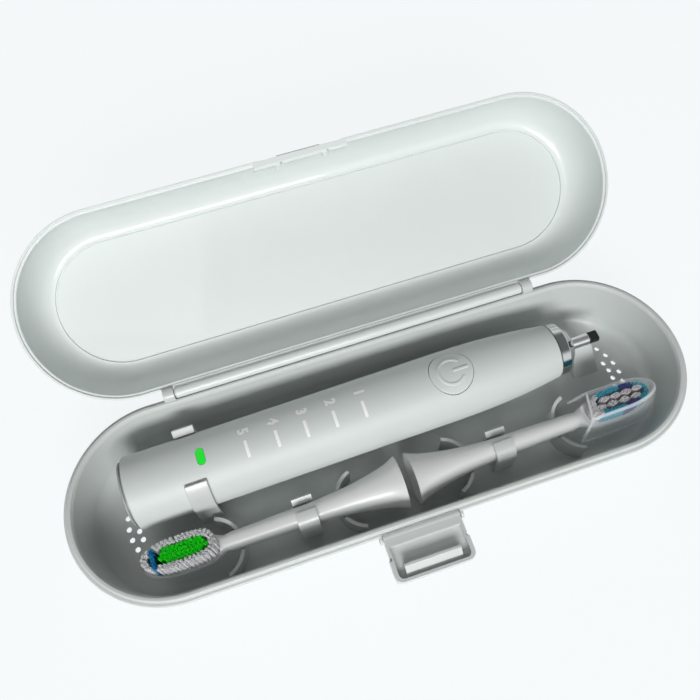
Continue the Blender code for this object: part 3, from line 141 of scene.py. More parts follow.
class Wiring:
    """One node tree, for a material or for Geometry Nodes."""

    def __init__(self, tree):
        self.tree = tree

    def feed(self, socket, value):
        """Link a signal to a socket, or set the socket's own value."""
        if isinstance(value, Signal):
            self.tree.links.new(value.socket, socket)
        elif isinstance(value, (list, tuple)) and value and isinstance(value[0], Signal):
            for part in value:
                self.tree.links.new(part.socket, socket)
        else:
            socket.default_value = value

    def node(self, kind, settings=None, sockets=None, outlet=0):
        """Add a node: its settings or a ramp's stops first, then the values or links of its sockets."""
        made = self.tree.nodes.new(kind)
        for name, value in (settings or {}).items():
            if name == "stops":
                while len(made.color_ramp.elements) < len(value):
                    made.color_ramp.elements.new(0)
                for element, (place, colour) in zip(made.color_ramp.elements, value):
                    element.position = place
                    element.color = colour
            else:
                setattr(made, name, value)
        for key, value in (sockets or {}).items():
            self.feed(made.inputs[key], value)
        return Signal(self, made.outputs[outlet])

    def maths(self, operation, first, second=0.0):
        """One Math node."""
        return self.node("ShaderNodeMath", {"operation": operation}, {0: first, 1: second})

    def mix(self, share, first, second):
        """One Mix node for colours."""
        sockets = {0: share, 6: first, 7: second}
        return self.node("ShaderNodeMix", {"data_type": "RGBA"}, sockets, outlet=2)


def stage_material(name, world=False):
    """The sweep's or the sky's colour for the rays that show it, and plain light for all the others."""
    holder = bpy.data.worlds.new(name) if world else bpy.data.materials.new(name)
    holder.use_nodes = True
    wiring = Wiring(holder.node_tree)
    holder.node_tree.nodes.clear()
    seen, mirrored, through = [wiring.node("ShaderNodeLightPath", outlet=ray) for ray in (0, 3, 6)]
    shown = wiring.maths("MINIMUM", seen + mirrored + through, 1.0)
    if world:
        other = wiring.node("ShaderNodeBackground", None, {"Color": (1, 1, 1, 1), "Strength": SKY_STRENGTH})
        direction = wiring.node("ShaderNodeTexCoord", outlet=0)
        height = wiring.node("ShaderNodeSeparateXYZ", None, {0: direction}, outlet=2)
        low, high = CEILING_HEIGHT_SHARES
        overhead = wiring.node(
            "ShaderNodeMapRange", {"interpolation_type": "SMOOTHSTEP"}, {0: height, 1: low, 2: high}
        )
        tone = wiring.mix(overhead * mirrored, PAPER, CEILING_TONE)
        pale = wiring.node("ShaderNodeBackground", None, {"Color": tone, "Strength": 1.0})
        output = "ShaderNodeOutputWorld"
    else:
        other = wiring.node("ShaderNodeBsdfDiffuse", None, {"Color": PAPER})
        pale = wiring.node("ShaderNodeEmission", None, {"Color": PAPER_GLOW, "Strength": 1.0})
        shown = shown * PAPER_SHARE
        output = "ShaderNodeOutputMaterial"
    mixed = wiring.node("ShaderNodeMixShader", None, {0: shown, 1: other, 2: pale})
    wiring.feed(holder.node_tree.nodes.new(output).inputs["Surface"], mixed)
    return holder


SWEEP_REACH = 4.0
SWEEP_DROP = 0.0001
sweep_mesh = bpy.data.meshes.new("sweep")
sweep_mesh.from_pydata(
    [(x * SWEEP_REACH, y * SWEEP_REACH, -SWEEP_DROP) for x, y in ((-1, -1), (1, -1), (1, 1), (-1, 1))],
    [], [(0, 1, 2, 3)],
)
sweep_mesh.materials.append(stage_material("paper"))
sweep = placed("sweep", sweep_mesh)
sweep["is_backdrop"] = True
bpy.context.scene.world = stage_material("sky", world=True)
bpy.context.scene.view_settings.view_transform = "Standard"

LAMPS = (
    # name, direction it stands in, distance, width, height, watts
    ("key_softbox", (-0.12, -0.82, 0.54), 1.40, 0.80, 0.38, 15.4),
    ("window_panel", (-0.20, -0.50, 0.80), 1.30, 0.40, 0.32, 0.95),
    ("hinge_fill", (-0.35, 0.55, 0.75), 1.10, 0.60, 0.50, 0.6),
)
for lamp_name, direction, distance, width, height, watts in LAMPS:
    lamp_data = bpy.data.lights.new(lamp_name, "AREA")
    lamp_data.shape = "RECTANGLE"
    lamp_data.size = width
    lamp_data.size_y = height
    lamp_data.energy = watts
    lamp_object = placed(lamp_name, lamp_data)
    aim = Vector(direction).normalized()
    lamp_object.location = PHOTO_TARGET + aim * distance
    lamp_object.rotation_mode = "QUATERNION"
    lamp_object.rotation_quaternion = aim.to_track_quat("Z", "Y")

# The tray
# One injection-moulded shell of white plastic with a drafted wall, a rounded foot, a lip round the outside
# just under its rim and two rows of flared air holes at each end. A Geometry Nodes tree cuts the holes.
FIT = 0.0003
OVERRUN = 0.002
TRAY_HEIGHT = 0.0240
TRAY_FLOOR = 0.0020
TRAY_WALL = 0.0019
TRAY_FOOT_RADIUS = 0.030025
TRAY_RIM_RADIUS = 0.032025
TRAY_CORNER_RADIUS = 0.0055
TRAY_LIP_REACH = 0.0015
TRAY_LIP_TOP = 0.0226
TRAY_LIP_FOOT = 0.0212
TRAY_RIM_LAND = 0.00065
TRAY_RIM_CHAMFER = 0.0013
TRAY_COLOUR = (0.645, 0.68, 0.665)
CASE_GRAIN_SCALE = 2600
CASE_GRAIN_DEPTH = 0.000004
HOLE_RADIUS = 0.00095
HOLE_FLARE = 0.30
HOLE_ROWS = (("Outer row", 0.0196, 7), ("Inner row", 0.0162, 4))
HOLE_STEP_ANGLE = math.radians(12)
END_STEPS = 56
rim_radius = TRAY_RIM_RADIUS + TRAY_WALL
lip_radius = rim_radius + TRAY_LIP_REACH
half_straight = cad_high.x - lip_radius


class Finish(Wiring):
    """A material with one Principled shader and the fine unevenness that the real surface has."""

    def __init__(self, name, colour, roughness, **sockets):
        self.material = bpy.data.materials.new(name)
        self.material.use_nodes = True
        super().__init__(self.material.node_tree)
        self.shader = self.tree.nodes["Principled BSDF"]
        self.shader.inputs["Base Color"].default_value = (*colour, 1)
        self.shader.inputs["Roughness"].default_value = roughness
        for key, value in sockets.items():
            self.shader.inputs[key.replace("_", " ").title()].default_value = value
        self.colour = colour
        self.roughness = roughness
        self.place = self.node("ShaderNodeTexCoord", outlet=3)

    def set(self, socket, value):
        self.feed(self.shader.inputs[socket], value)
        return self

    def noise(self, scale, detail=2.0, stretch=None):
        """A noise over the surface, which a stretch along X, Y or Z draws out."""
        place = self.place
        if stretch is not None:
            place = self.node("ShaderNodeMapping", None, {"Vector": place, "Scale": stretch})
        return self.node("ShaderNodeTexNoise", None, {"Vector": place, "Scale": scale, "Detail": detail})

    def mottle(self, scale, amount, stretch=None):
        """Let the colour wander a little to a lighter and a darker tone."""
        darker = tuple(c * (1 - amount) for c in self.colour)
        lighter = tuple(min(1.0, c * (1 + amount)) for c in self.colour)
        return self.set("Base Color", self.mix(self.noise(scale, 3.0, stretch), (*darker, 1), (*lighter, 1)))

    def uneven(self, scale, amount):
        """Let the roughness wander by an amount each way."""
        wander = (self.noise(scale, 4.0) - 0.5) * (2 * amount)
        return self.set("Roughness", wander + self.roughness)

    def grain(self, scale, depth, stretch=None):
        """A fine relief of a real depth in metres."""
        bump = self.node(
            "ShaderNodeBump", None,
            {"Strength": 1.0, "Distance": depth, "Height": self.noise(scale, stretch=stretch)},
        )
        return self.set("Normal", bump)


def case_plastic(name, colour, roughness, coat, coat_roughness=0.12):
    """Moulded plastic with a faint orange-peel surface and a little gloss over it."""
    finish = Finish(name, colour, roughness, coat_weight=coat, coat_roughness=coat_roughness)
    return finish.mottle(55, 0.018).uneven(140, 0.05).grain(CASE_GRAIN_SCALE, CASE_GRAIN_DEPTH)


def arc(centre, radius, start, end, steps):
    """Points on a circle in a plane, from one angle to another; a pair of radii makes it oval."""
    across, up = radius if isinstance(radius, tuple) else (radius, radius)
    angles = [start + (end - start) * i / steps for i in range(steps + 1)]
    return [(centre[0] + across * math.cos(a), centre[1] + up * math.sin(a)) for a in angles]


def eased(path, steps=4, closed=False):
    """A path of (across, up, rounding) corners, with each corner turned into a round."""
    points = []
    count = len(path)
    for i, (across, up, rounding) in enumerate(path):
        here = Vector((across, up))
        if rounding == 0 or (not closed and i in (0, count - 1)):
            points.append(tuple(here))
            continue
        back = Vector(path[i - 1][:2]) - here
        ahead = Vector(path[(i + 1) % count][:2]) - here
        reach = rounding / math.tan(max(back.angle(ahead), 0.05) / 2)
        reach = min(reach, back.length * 0.49, ahead.length * 0.49)
        start = here + back.normalized() * reach
        end = here + ahead.normalized() * reach
        for k in range(steps + 1):
            t = k / steps
            points.append(tuple(start.lerp(here, t).lerp(here.lerp(end, t), t)))
    return points


def stadium(radius, z, centre_y=0.0):
    """The case's plan outline at one height: two half circles joined by straight sides."""
    points = []
    for side in (1, -1):
        for across, up in arc((0, 0), radius, -math.pi / 2, math.pi / 2, END_STEPS):
            points.append(Vector((side * (half_straight + across), centre_y + side * up, z)))
    return points


def bridge(bm, rings, closed=False):
    """Skin a row of rings, of which any may be a single point, and join the last to the first if asked."""
    count = max(len(ring) for ring in rings)
    for near, far in zip(rings, rings[1:] + rings[:1] if closed else rings[1:]):
        for i in range(count):
            j = (i + 1) % count
            corners = (near[i % len(near)], near[j % len(near)], far[j % len(far)], far[i % len(far)])
            face = list(dict.fromkeys(corners))
            if len(face) > 2:
                bm.faces.new(face)


def loft(rings):
    """Skin a row of rings that have the same number of points, and close the ends."""
    bm = bmesh.new()
    rows = [[bm.verts.new(point) for point in ring] for ring in rings]
    bridge(bm, rows)
    bm.faces.new(list(reversed(rows[0])))
    bm.faces.new(rows[-1])
    return bm


def solid(name, bm, place=None):
    """A bmesh as an object that sits at the origin, with its place in its mesh and its faces outward."""
    if place is not None:
        bmesh.ops.transform(bm, matrix=place, verts=bm.verts)
    bmesh.ops.recalc_face_normals(bm, faces=bm.faces)
    mesh = bpy.data.meshes.new(name)
    bm.to_mesh(mesh)
    bm.free()
    return placed(name, mesh)


def plain(piece):
    """The mesh that an object and its modifiers give."""
    bpy.context.view_layer.update()
    return bpy.data.meshes.new_from_object(piece.evaluated_get(bpy.context.evaluated_depsgraph_get()))


def settle(piece):
    """Turn an object with its modifiers into a plain mesh."""
    mesh = plain(piece)
    piece.modifiers.clear()
    piece.data = mesh
    return piece


def carve(piece, form, place=None, operation="DIFFERENCE"):
    """Cut a form out of a piece, or join it on."""
    tool = solid("tool", form, place)
    modifier = piece.modifiers.new("carve", "BOOLEAN")
    modifier.operation = operation
    modifier.solver = "EXACT"
    modifier.object = tool
    settle(piece)
    bpy.data.objects.remove(tool, do_unlink=True)


def join(piece, form):
    """Join a form on to a piece."""
    carve(piece, form, operation="UNION")


def shade(piece, sharp):
    """Smooth shading with sharp edges from an angle in degrees."""
    piece.data.shade_smooth()
    piece.data.set_sharp_from_angle(angle=math.radians(sharp))


def dress(piece, finish, body, slot, *nodes, edge=0.0, sharp=35, place=None):
    """Place a piece, give it its finish and rounded edges and its body, and hide the nodes it stands for; the
    slot is not used.
    """
    if place is not None:
        piece.data.transform(place)
    piece.data.materials.clear()
    piece.data.materials.append(finish.material)
    shade(piece, sharp)
    if edge:
        bevel = piece.modifiers.new("rounded edge", "BEVEL")
        bevel.width = edge
        bevel.segments = 3
        bevel.limit_method = "ANGLE"
        bevel.angle_limit = math.radians(sharp)
        bevel.use_clamp_overlap = True
        settle(piece)
        shade(piece, sharp)
    even = piece.modifiers.new("even light", "WEIGHTED_NORMAL")
    even.keep_sharp = True
    even.weight = 80
    settle(piece)
    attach(piece, body)
    if nodes:
        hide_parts(*nodes)
    return piece


class Recipe(Wiring):
    """A Geometry Nodes tree with named inputs, which ends in Realize Instances and Set Material."""

    def __init__(self, name):
        super().__init__(bpy.data.node_groups.new(name, "GeometryNodeTree"))
        self.tree.interface.new_socket("Geometry", in_out="INPUT", socket_type="NodeSocketGeometry")
        self.tree.interface.new_socket("Geometry", in_out="OUTPUT", socket_type="NodeSocketGeometry")
        self.entry = self.tree.nodes.new("NodeGroupInput")
        self.exit = self.tree.nodes.new("NodeGroupOutput")
        self.values = {}

    def input(self, name, kind, value):
        """A named input with its value for this piece."""
        socket = self.tree.interface.new_socket(name, in_out="INPUT", socket_type="NodeSocket" + kind)
        self.values[socket.identifier] = value
        return Signal(self, self.entry.outputs[name])

    def inputs(self, **values):
        """Named whole or real inputs with their values for this piece."""
        signals = []
        for name, value in values.items():
            kind = "Int" if isinstance(value, int) else "Float"
            signals.append(self.input(name.capitalize().replace("_", " "), kind, value))
        return signals

    def given(self):
        return Signal(self, self.entry.outputs["Geometry"])

    def make(self, kind, sockets=None, **settings):
        return self.node("GeometryNode" + kind, settings, sockets)

    def cook(self, piece, geometry, finish):
        """Finish the tree, run it on a piece and leave a plain mesh."""
        paint = self.input("Finish", "Material", finish.material)
        whole = self.make("RealizeInstances", {"Geometry": geometry})
        painted = self.make("SetMaterial", {"Geometry": whole, "Material": paint})
        self.feed(self.exit.inputs["Geometry"], painted)
        modifier = piece.modifiers.new(self.tree.name, "NODES")
        modifier.node_group = self.tree
        for identifier, value in self.values.items():
            modifier[identifier] = value
        return settle(piece)


corner_r = TRAY_FOOT_RADIUS - TRAY_CORNER_RADIUS
corner_z = TRAY_FLOOR + TRAY_CORNER_RADIUS
tray_outside = arc(
    (corner_r, corner_z), (TRAY_CORNER_RADIUS + TRAY_WALL, corner_z), -math.pi / 2, 0, 12
)
tray_rim = eased((
    (tray_outside[-1][0], corner_z + FIT, 0),
    (rim_radius - FIT, TRAY_LIP_FOOT - TRAY_LIP_REACH / 2, 0.0004),
    (lip_radius, TRAY_LIP_FOOT, 0.0003),
    (lip_radius, TRAY_LIP_TOP, 0.0006),
    (rim_radius + FIT / 2, TRAY_LIP_TOP - FIT / 3, 0.0003),
    (rim_radius, TRAY_HEIGHT, 0.0005),
    (TRAY_RIM_RADIUS + TRAY_RIM_LAND, TRAY_HEIGHT, 0.0005),
    (TRAY_RIM_RADIUS, TRAY_HEIGHT - TRAY_RIM_CHAMFER, 0.0008),
    (TRAY_FOOT_RADIUS, corner_z + FIT, 0),
))
tray_inside = arc((corner_r, corner_z), TRAY_CORNER_RADIUS, 0, -math.pi / 2, 12)
tray = solid("tray", loft([stadium(r, z) for r, z in tray_outside + tray_rim + tray_inside]))

holes = Recipe("air_holes")
hole_top, hole_foot, hole_depth, hole_step, hole_reach = holes.inputs(
    upper_radius=HOLE_RADIUS - OVERRUN * HOLE_FLARE,
    lower_radius=HOLE_RADIUS + (TRAY_FLOOR + OVERRUN) * HOLE_FLARE,
    cut_depth=TRAY_FLOOR + 2 * OVERRUN, step_angle=HOLE_STEP_ANGLE, end_distance=half_straight,
)
hole_bit = holes.make("MeshCone", {
    "Vertices": 20, "Side Segments": 1, "Radius Top": hole_top, "Radius Bottom": hole_foot,
    "Depth": hole_depth,
})
hole_rows = []
for row_name, row_radius, row_count in HOLE_ROWS:
    radius = holes.input(row_name, "Float", row_radius)
    sweep_angle = hole_step * (row_count - 1)
    row = holes.make("CurveArc", {
        "Resolution": row_count, "Radius": radius, "Start Angle": sweep_angle * -0.5,
        "Sweep Angle": sweep_angle,
    }, mode="RADIUS")
    places = holes.make("CurveToPoints", {"Curve": row}, mode="EVALUATED")
    hole_rows.append(holes.make("InstanceOnPoints", {"Points": places, "Instance": hole_bit}))
one_end = holes.make("JoinGeometry", {"Geometry": hole_rows})
shift = holes.node("ShaderNodeCombineXYZ", None, {"X": hole_reach, "Z": -OVERRUN})
one_end = holes.make("Transform", {"Geometry": one_end, "Translation": shift})
other_end = holes.make("Transform", {"Geometry": one_end, "Rotation": (0, 0, math.pi)})
both_ends = holes.make("JoinGeometry", {"Geometry": [one_end, other_end]})
bits = holes.make("RealizeInstances", {"Geometry": both_ends})
drilled = holes.make(
    "MeshBoolean", {"Mesh 1": holes.given(), "Mesh 2": bits}, operation="DIFFERENCE", solver="EXACT"
)
tray_plastic = case_plastic("tray_plastic", TRAY_COLOUR, 0.38, 0.25)
holes.cook(tray, drilled, tray_plastic)

# The hinge's groove and lugs, and the latch's notch and ears
# The lid's barrel lies in a round groove along the back of the rim, with a bored lug at each end that its
# stub pins turn in. On the front the lip is cut back for the latch, which hangs between two rounded ears.
HINGE_BARREL_HALF = 0.0665
HINGE_GROOVE_RADIUS = 0.0025
HINGE_LUG_RADIUS = 0.0026
HINGE_LUG_LENGTH = 0.0040
HINGE_PIN_RADIUS = 0.0010
LATCH_HALF_WIDTH = 0.0134
LATCH_UNDERSIDE = 0.0026
LATCH_PIN_RADIUS = 0.0006
EAR_RADIUS = 0.00165
EAR_THICKNESS = 0.0010
EAR_ROOT = 0.0028
hinge_spot = Vector(joints["lid_hinge"]["pos_m"])
latch_spot = Vector(joints["latch_hinge"]["pos_m"])
at_hinge = Matrix.Translation(hinge_spot)
at_latch = Matrix.Translation(latch_spot)


def revolve(profile, steps=96, closed=True):
    """Spin a profile of (x, radius) points about the X axis; a closed profile makes a ring."""
    bm = bmesh.new()
    rings = []
    for x, radius in profile:
        if radius < 1e-7:
            rings.append([bm.verts.new((x, 0, 0))])
        else:
            turns = [math.tau * k / steps for k in range(steps)]
            rings.append([bm.verts.new((x, radius * math.sin(a), radius * math.cos(a))) for a in turns])
    bridge(bm, rings, closed)
    return bm


def bar(start, end, radius, steps=48, rounding=0.0):
    """A round bar along X with softened ends."""
    corners = ((start, 0, 0), (start, radius, rounding), (end, radius, rounding), (end, 0, 0))
    return revolve(eased(corners) if rounding else [c[:2] for c in corners], steps, closed=False)


def box(low, high):
    """A box between two corners."""
    bm = bmesh.new()
    bmesh.ops.create_cube(bm, size=1)
    bmesh.ops.scale(bm, vec=Vector(high) - Vector(low), verts=bm.verts)
    bmesh.ops.translate(bm, vec=(Vector(high) + Vector(low)) / 2, verts=bm.verts)
    return bm


def slab(outline, low, high):
    """A plan outline of (x, y) points made solid between two heights."""
    return loft([[Vector((x, y, z)) for x, y in outline] for z in (low, high)])


def ring_at(x, outline):
    """An outline of (y, z) points at a place along X."""
    return [Vector((x, y, z)) for y, z in outline]


def extrusion(outline, low, high):
    """A side outline of (y, z) points made solid along X."""
    return loft([ring_at(x, outline) for x in (low, high)])


def span(side, near, far):
    """Two distances from the middle on one side, the lower place first."""
    return sorted((side * near, side * far))


def latch_box(half_width, near, far):
    """A box centred on the latch, between two (y, z) corners."""
    return box((latch_spot.x - half_width, *near), (latch_spot.x + half_width, *far))


def mirrored(half):
    """Half an outline or profile and its mirror image across the middle."""
    return [*half, *((-x, *rest) for x, *rest in reversed(half))]


groove_half = HINGE_BARREL_HALF + FIT / 2
carve(tray, bar(-groove_half, groove_half, HINGE_GROOVE_RADIUS), at_hinge)
carve(tray, latch_box(
    LATCH_HALF_WIDTH + 2 * FIT,
    (-lip_radius - OVERRUN, latch_spot.z - LATCH_UNDERSIDE), (-rim_radius - FIT, TRAY_HEIGHT - FIT),
))
dress(tray, tray_plastic, "base", "case_plastic", "base_shell", sharp=32)

ear_root = EAR_ROOT - (rim_radius + 0.5 * TRAY_WALL - abs(latch_spot.y))
for side, letter in ((-1, "l"), (1, "r")):
    low, high = span(side, HINGE_BARREL_HALF + FIT, HINGE_BARREL_HALF + FIT + HINGE_LUG_LENGTH)
    lug = solid("hinge_lug_" + letter, bar(low, high, HINGE_LUG_RADIUS, rounding=0.0003), at_hinge)
    carve(lug, bar(low - FIT, high + FIT, HINGE_PIN_RADIUS + FIT), at_hinge)
    dress(lug, tray_plastic, "base", "case_plastic")
    low, high = span(side, LATCH_HALF_WIDTH + FIT, LATCH_HALF_WIDTH + FIT + EAR_THICKNESS)
    ear_side = arc((0, 0), EAR_RADIUS, math.pi / 2, math.pi * 3 / 2, 14)
    ear_side += [(ear_root, -EAR_RADIUS), (ear_root, EAR_RADIUS)]
    ear = solid("latch_ear_" + letter, extrusion(ear_side, low, high), at_latch)
    carve(ear, bar(low - FIT, high + FIT, LATCH_PIN_RADIUS + FIT, 24), at_latch)
    dress(ear, tray_plastic, "base", "case_plastic", edge=0.0002)

# The brush heads
# Each is one long moulding: a flared skirt that fits over the drive shaft, a slim stem, and an oval
# head with a shallow field for the bristles. Cross-sections are lofted from the tip to the skirt's mouth and
# back into its bore.
NEST_TURN = math.atan2(joints["shaft_swing"]["axis"][1], joints["shaft_swing"]["axis"][0])
BRUSH_LINE = Vector((0.0017, -0.017575, 0.0130))
MOUTH_GAP = 0.00415
BRUSH_LENGTH = 0.09165
SKIRT_RADIUS = 0.00945
SKIRT_BORE_RADIUS = 0.0084
SKIRT_BORE_DEPTH = 0.0068
HEAD_LENGTH = 0.0280
HEAD_HALF_WIDTH = 0.0053
BRUSH_A_TURN = math.radians(0.4)
HEAD_HALF_THICKNESS = 0.0021
COUPLING_RADIUS = 0.0037
COUPLING_LENGTH = 0.0131
FIELD_FROM_TIP = 0.0138
FIELD_HALF_LENGTH = 0.0123
FIELD_HALF_WIDTH = 0.0050
FIELD_DEPTH = 0.0009
FIELD_STEM_SQUARENESS = 3.4
FIELD_TIP_SQUARENESS = 2.2
STEM_SHARES = (
    (0.0, 1.0), (0.03, 0.87), (0.067, 0.762), (0.116, 0.656), (0.193, 0.529),
    (0.27, 0.455), (0.351, 0.402), (0.476, 0.381), (0.6, 0.345), (0.70, 0.34),
)
HEAD_WIDTH_SHARES = (
    (0.0, 0.52), (0.05, 0.63), (0.11, 0.80), (0.19, 0.93), (0.32, 0.99), (0.5, 1.0), (0.66, 0.97),
    (0.8, 0.87), (0.9, 0.69), (0.96, 0.45), (0.99, 0.24), (1.0, 0.08),
)
HEAD_THICKNESS_SHARES = (
    (0.0, 1.40), (0.08, 1.25), (0.18, 1.08), (0.32, 1.0), (0.5, 1.0), (0.8, 1.0), (0.9, 0.98), (0.96, 0.9),
    (0.99, 0.66), (1.0, 0.3),
)
HEAD_SQUARENESS = 3.0
HEAD_STEPS = 26
STEM_STEPS = 30
STEM_SPACING_POWER = 1.3
BRUSH_COLOUR = (0.74, 0.76, 0.755)
nest_place = Matrix.Rotation(NEST_TURN, 4, "Z")
half_gap = Vector((MOUTH_GAP / 2, 0, 0))
brush_places = {
    "a": nest_place @ Matrix.Translation(BRUSH_LINE - half_gap)
    @ Matrix.Rotation(math.pi - BRUSH_A_TURN, 4, "Z"),
    "b": nest_place @ Matrix.Translation(BRUSH_LINE + half_gap),
}
field_u = BRUSH_LENGTH - FIELD_FROM_TIP


def smooth_share(table, share):
    """Read a table of shares with a smooth curve through its points."""
    places = [place for place, value in table]
    values = [value for place, value in table]
    if share >= places[-1]:
        return values[-1]
    i = max(k for k in range(len(places) - 1) if places[k] <= share)
    stride = places[i + 1] - places[i]
    t = (share - places[i]) / stride
    slopes = []
    for k in (i, i + 1):
        low, high = max(k - 1, 0), min(k + 1, len(places) - 1)
        slopes.append((values[high] - values[low]) / (places[high] - places[low]))
    return (
        (1 + 2 * t) * (1 - t) ** 2 * values[i] + t * (1 - t) ** 2 * stride * slopes[0]
        + t * t * (3 - 2 * t) * values[i + 1] + t * t * (t - 1) * stride * slopes[1]
    )


def squared(value, squareness):
    """A sine or cosine that draws an ellipse at 2 and nears a rectangle above it."""
    return math.copysign(abs(value) ** (2 / squareness), value)


def oval(half_width, half_height, squareness=2.0, steps=48):
    """A closed outline from an ellipse to a rounded rectangle."""
    turns = [math.tau * (k + 0.5) / steps for k in range(steps)]
    return [
        (half_width * squared(math.cos(a), squareness), half_height * squared(math.sin(a), squareness))
        for a in turns
    ]


def brush_sections(grow=0.0):
    """The brush head's outline sections, from the tip of the head back to the skirt's mouth."""
    sections = []
    head_start = BRUSH_LENGTH - HEAD_LENGTH
    for share in [1 - (k / HEAD_STEPS) ** 2.0 for k in range(HEAD_STEPS + 1)]:
        width = HEAD_HALF_WIDTH * smooth_share(HEAD_WIDTH_SHARES, share) + grow
        height = HEAD_HALF_THICKNESS * smooth_share(HEAD_THICKNESS_SHARES, share) + grow
        squareness = 2 + (HEAD_SQUARENESS - 2) * min(1, share * 3)
        u = head_start + share * HEAD_LENGTH + (grow if share == 1 else 0)
        sections.append(ring_at(u, oval(width, height, squareness)))
    stem_end = head_start / BRUSH_LENGTH
    for k in range(1, STEM_STEPS + 1):
        share = stem_end * (1 - k / STEM_STEPS) ** STEM_SPACING_POWER
        radius = SKIRT_RADIUS * smooth_share(STEM_SHARES, share) + grow
        u = share * BRUSH_LENGTH - (grow if k == STEM_STEPS else 0)
        sections.append(ring_at(u, oval(radius, radius)))
    return sections


def field_outline(inset=0.0, steps=64, shrink=0.0):
    """The bristle field's plan: squared off towards the stem and oval towards the tip."""
    points = []
    for k in range(steps):
        angle = math.tau * (k + 0.5) / steps
        across, up = math.cos(angle), math.sin(angle)
        squareness = FIELD_STEM_SQUARENESS if across < 0 else FIELD_TIP_SQUARENESS
        points.append((
            (FIELD_HALF_LENGTH - inset - shrink) * squared(across, squareness),
            (FIELD_HALF_WIDTH - inset - shrink / 2) * squared(up, squareness),
        ))
    return points


brush_plastic = Finish(
    "brush_plastic", BRUSH_COLOUR, 0.34, coat_weight=0.2
).mottle(90, 0.015).uneven(200, 0.04).grain(3000, 0.000003)
mouth = (
    (FIT / 3, SKIRT_BORE_RADIUS + FIT), (FIT, SKIRT_BORE_RADIUS), (SKIRT_BORE_DEPTH, COUPLING_RADIUS),
    (SKIRT_BORE_DEPTH + COUPLING_LENGTH, COUPLING_RADIUS),
)
bore = [ring_at(u, oval(radius, radius)) for u, radius in mouth]
field = [(field_u + x, y) for x, y in field_outline()]
for letter, place in brush_places.items():
    head = solid("brush_head_" + letter, loft(brush_sections() + bore), place)
    carve(head, slab(field, HEAD_HALF_THICKNESS - FIELD_DEPTH, HEAD_HALF_THICKNESS + OVERRUN), place)
    dress(head, brush_plastic, "brush_" + letter, "brush_plastic", "brush_head_" + letter, sharp=40)

# The nest's saddle ribs, the shaft's block and the snap clips
# Four thin curved ribs stand on the floor under the brush heads, with their tops hollowed to the brushes'
# shape, and a drafted block carries the shaft. Springy clips hook over the handle's tail and both necks.
RIB_RADIUS = 0.0107
RIB_HALF_ANGLE = math.radians(71)
RIB_THICKNESS = 0.0012
RIB_TOP = 0.0125
NEST_CENTRE_X = 0.0012
SKIRT_RIB_DISTANCE = 0.01415
HEAD_RIB_DISTANCES = (0.0703, 0.06885)
SADDLE_GAP = 0.0005
HANDLE_CLIP_X = -0.0666
NECK_CLIP_DISTANCE = 0.0363
CLIP_FOOT_ROUNDING = 0.0012
CLIP_LEAD_ANGLE = math.radians(35)
# Darker than the tray's tone of the same plastic: painted shade that dims the clips' lit tops
CLIP_SHADED_COLOUR = (0.60, 0.63, 0.62)

rib_seeds = bmesh.new()
rib_turn = rib_seeds.verts.layers.float.new("turn")
for side, bulge, distance in (
    (-1, -1, SKIRT_RIB_DISTANCE), (1, 1, SKIRT_RIB_DISTANCE),
    (-1, 1, HEAD_RIB_DISTANCES[0]), (1, -1, HEAD_RIB_DISTANCES[1]),
):
    seed = rib_seeds.verts.new((NEST_CENTRE_X + side * distance, BRUSH_LINE.y, TRAY_FLOOR - FIT))
    seed[rib_turn] = 0.0 if bulge > 0 else math.pi
ribs = solid("saddle_ribs", rib_seeds)
ribs_recipe = Recipe("saddle_ribs")
rib_radius, rib_sweep, rib_thickness, rib_height = ribs_recipe.inputs(
    rib_radius=RIB_RADIUS, rib_sweep=2 * RIB_HALF_ANGLE, rib_thickness=RIB_THICKNESS,
    rib_height=RIB_TOP - TRAY_FLOOR + FIT,
)
rib_line = ribs_recipe.make("CurveArc", {
    "Resolution": 33, "Radius": rib_radius, "Start Angle": rib_sweep * -0.5, "Sweep Angle": rib_sweep,
}, mode="RADIUS")
rib_section = ribs_recipe.make(
    "CurvePrimitiveQuadrilateral", {"Width": rib_thickness, "Height": rib_height}, mode="RECTANGLE"
)
rib_wall = ribs_recipe.make(
    "CurveToMesh", {"Curve": rib_line, "Profile Curve": rib_section, "Fill Caps": True}
)
rib_lift = ribs_recipe.node("ShaderNodeCombineXYZ", None, {"Z": rib_height * 0.5})
rib_wall = ribs_recipe.make("Transform", {"Geometry": rib_wall, "Translation": rib_lift})
turn_value = ribs_recipe.make("InputNamedAttribute", {"Name": "turn"}, data_type="FLOAT")
rib_rotation = ribs_recipe.node("ShaderNodeCombineXYZ", None, {"Z": turn_value})
standing = ribs_recipe.make(
    "InstanceOnPoints", {"Points": ribs_recipe.given(), "Instance": rib_wall, "Rotation": rib_rotation}
)
ribs_recipe.cook(ribs, standing, tray_plastic)
ribs.data.transform(nest_place)
for place in brush_places.values():
    carve(ribs, loft(brush_sections(SADDLE_GAP)), place)
dress(ribs, tray_plastic, "base", "case_plastic", edge=0.0003)

SHAFT_RADIUS = 0.0022
BLOCK_END_X = 0.0862
BLOCK_LENGTH = 0.0075
BLOCK_TOP_HALF = 0.0018
BLOCK_FOOT_HALF = 0.0047
BLOCK_GUSSET = 0.0040
BLOCK_FLANK = 0.0028
handle_line = nest_place.inverted() @ Vector(joints["shaft_swing"]["pos_m"])
block_top = handle_line.z - SHAFT_RADIUS - FIT
block_side = (
    (handle_line.y - BLOCK_FOOT_HALF - BLOCK_GUSSET, TRAY_FLOOR - FIT),
    (handle_line.y + BLOCK_FOOT_HALF, TRAY_FLOOR - FIT),
    (handle_line.y + BLOCK_TOP_HALF, block_top), (handle_line.y - BLOCK_TOP_HALF, block_top),
)
shaft_block = solid("shaft_block", extrusion(block_side, BLOCK_END_X - BLOCK_LENGTH, BLOCK_END_X))
for v in shaft_block.data.vertices:
    if v.co.z < block_top / 2 and v.co.x > BLOCK_END_X - BLOCK_LENGTH / 2:
        v.co.x += BLOCK_FLANK
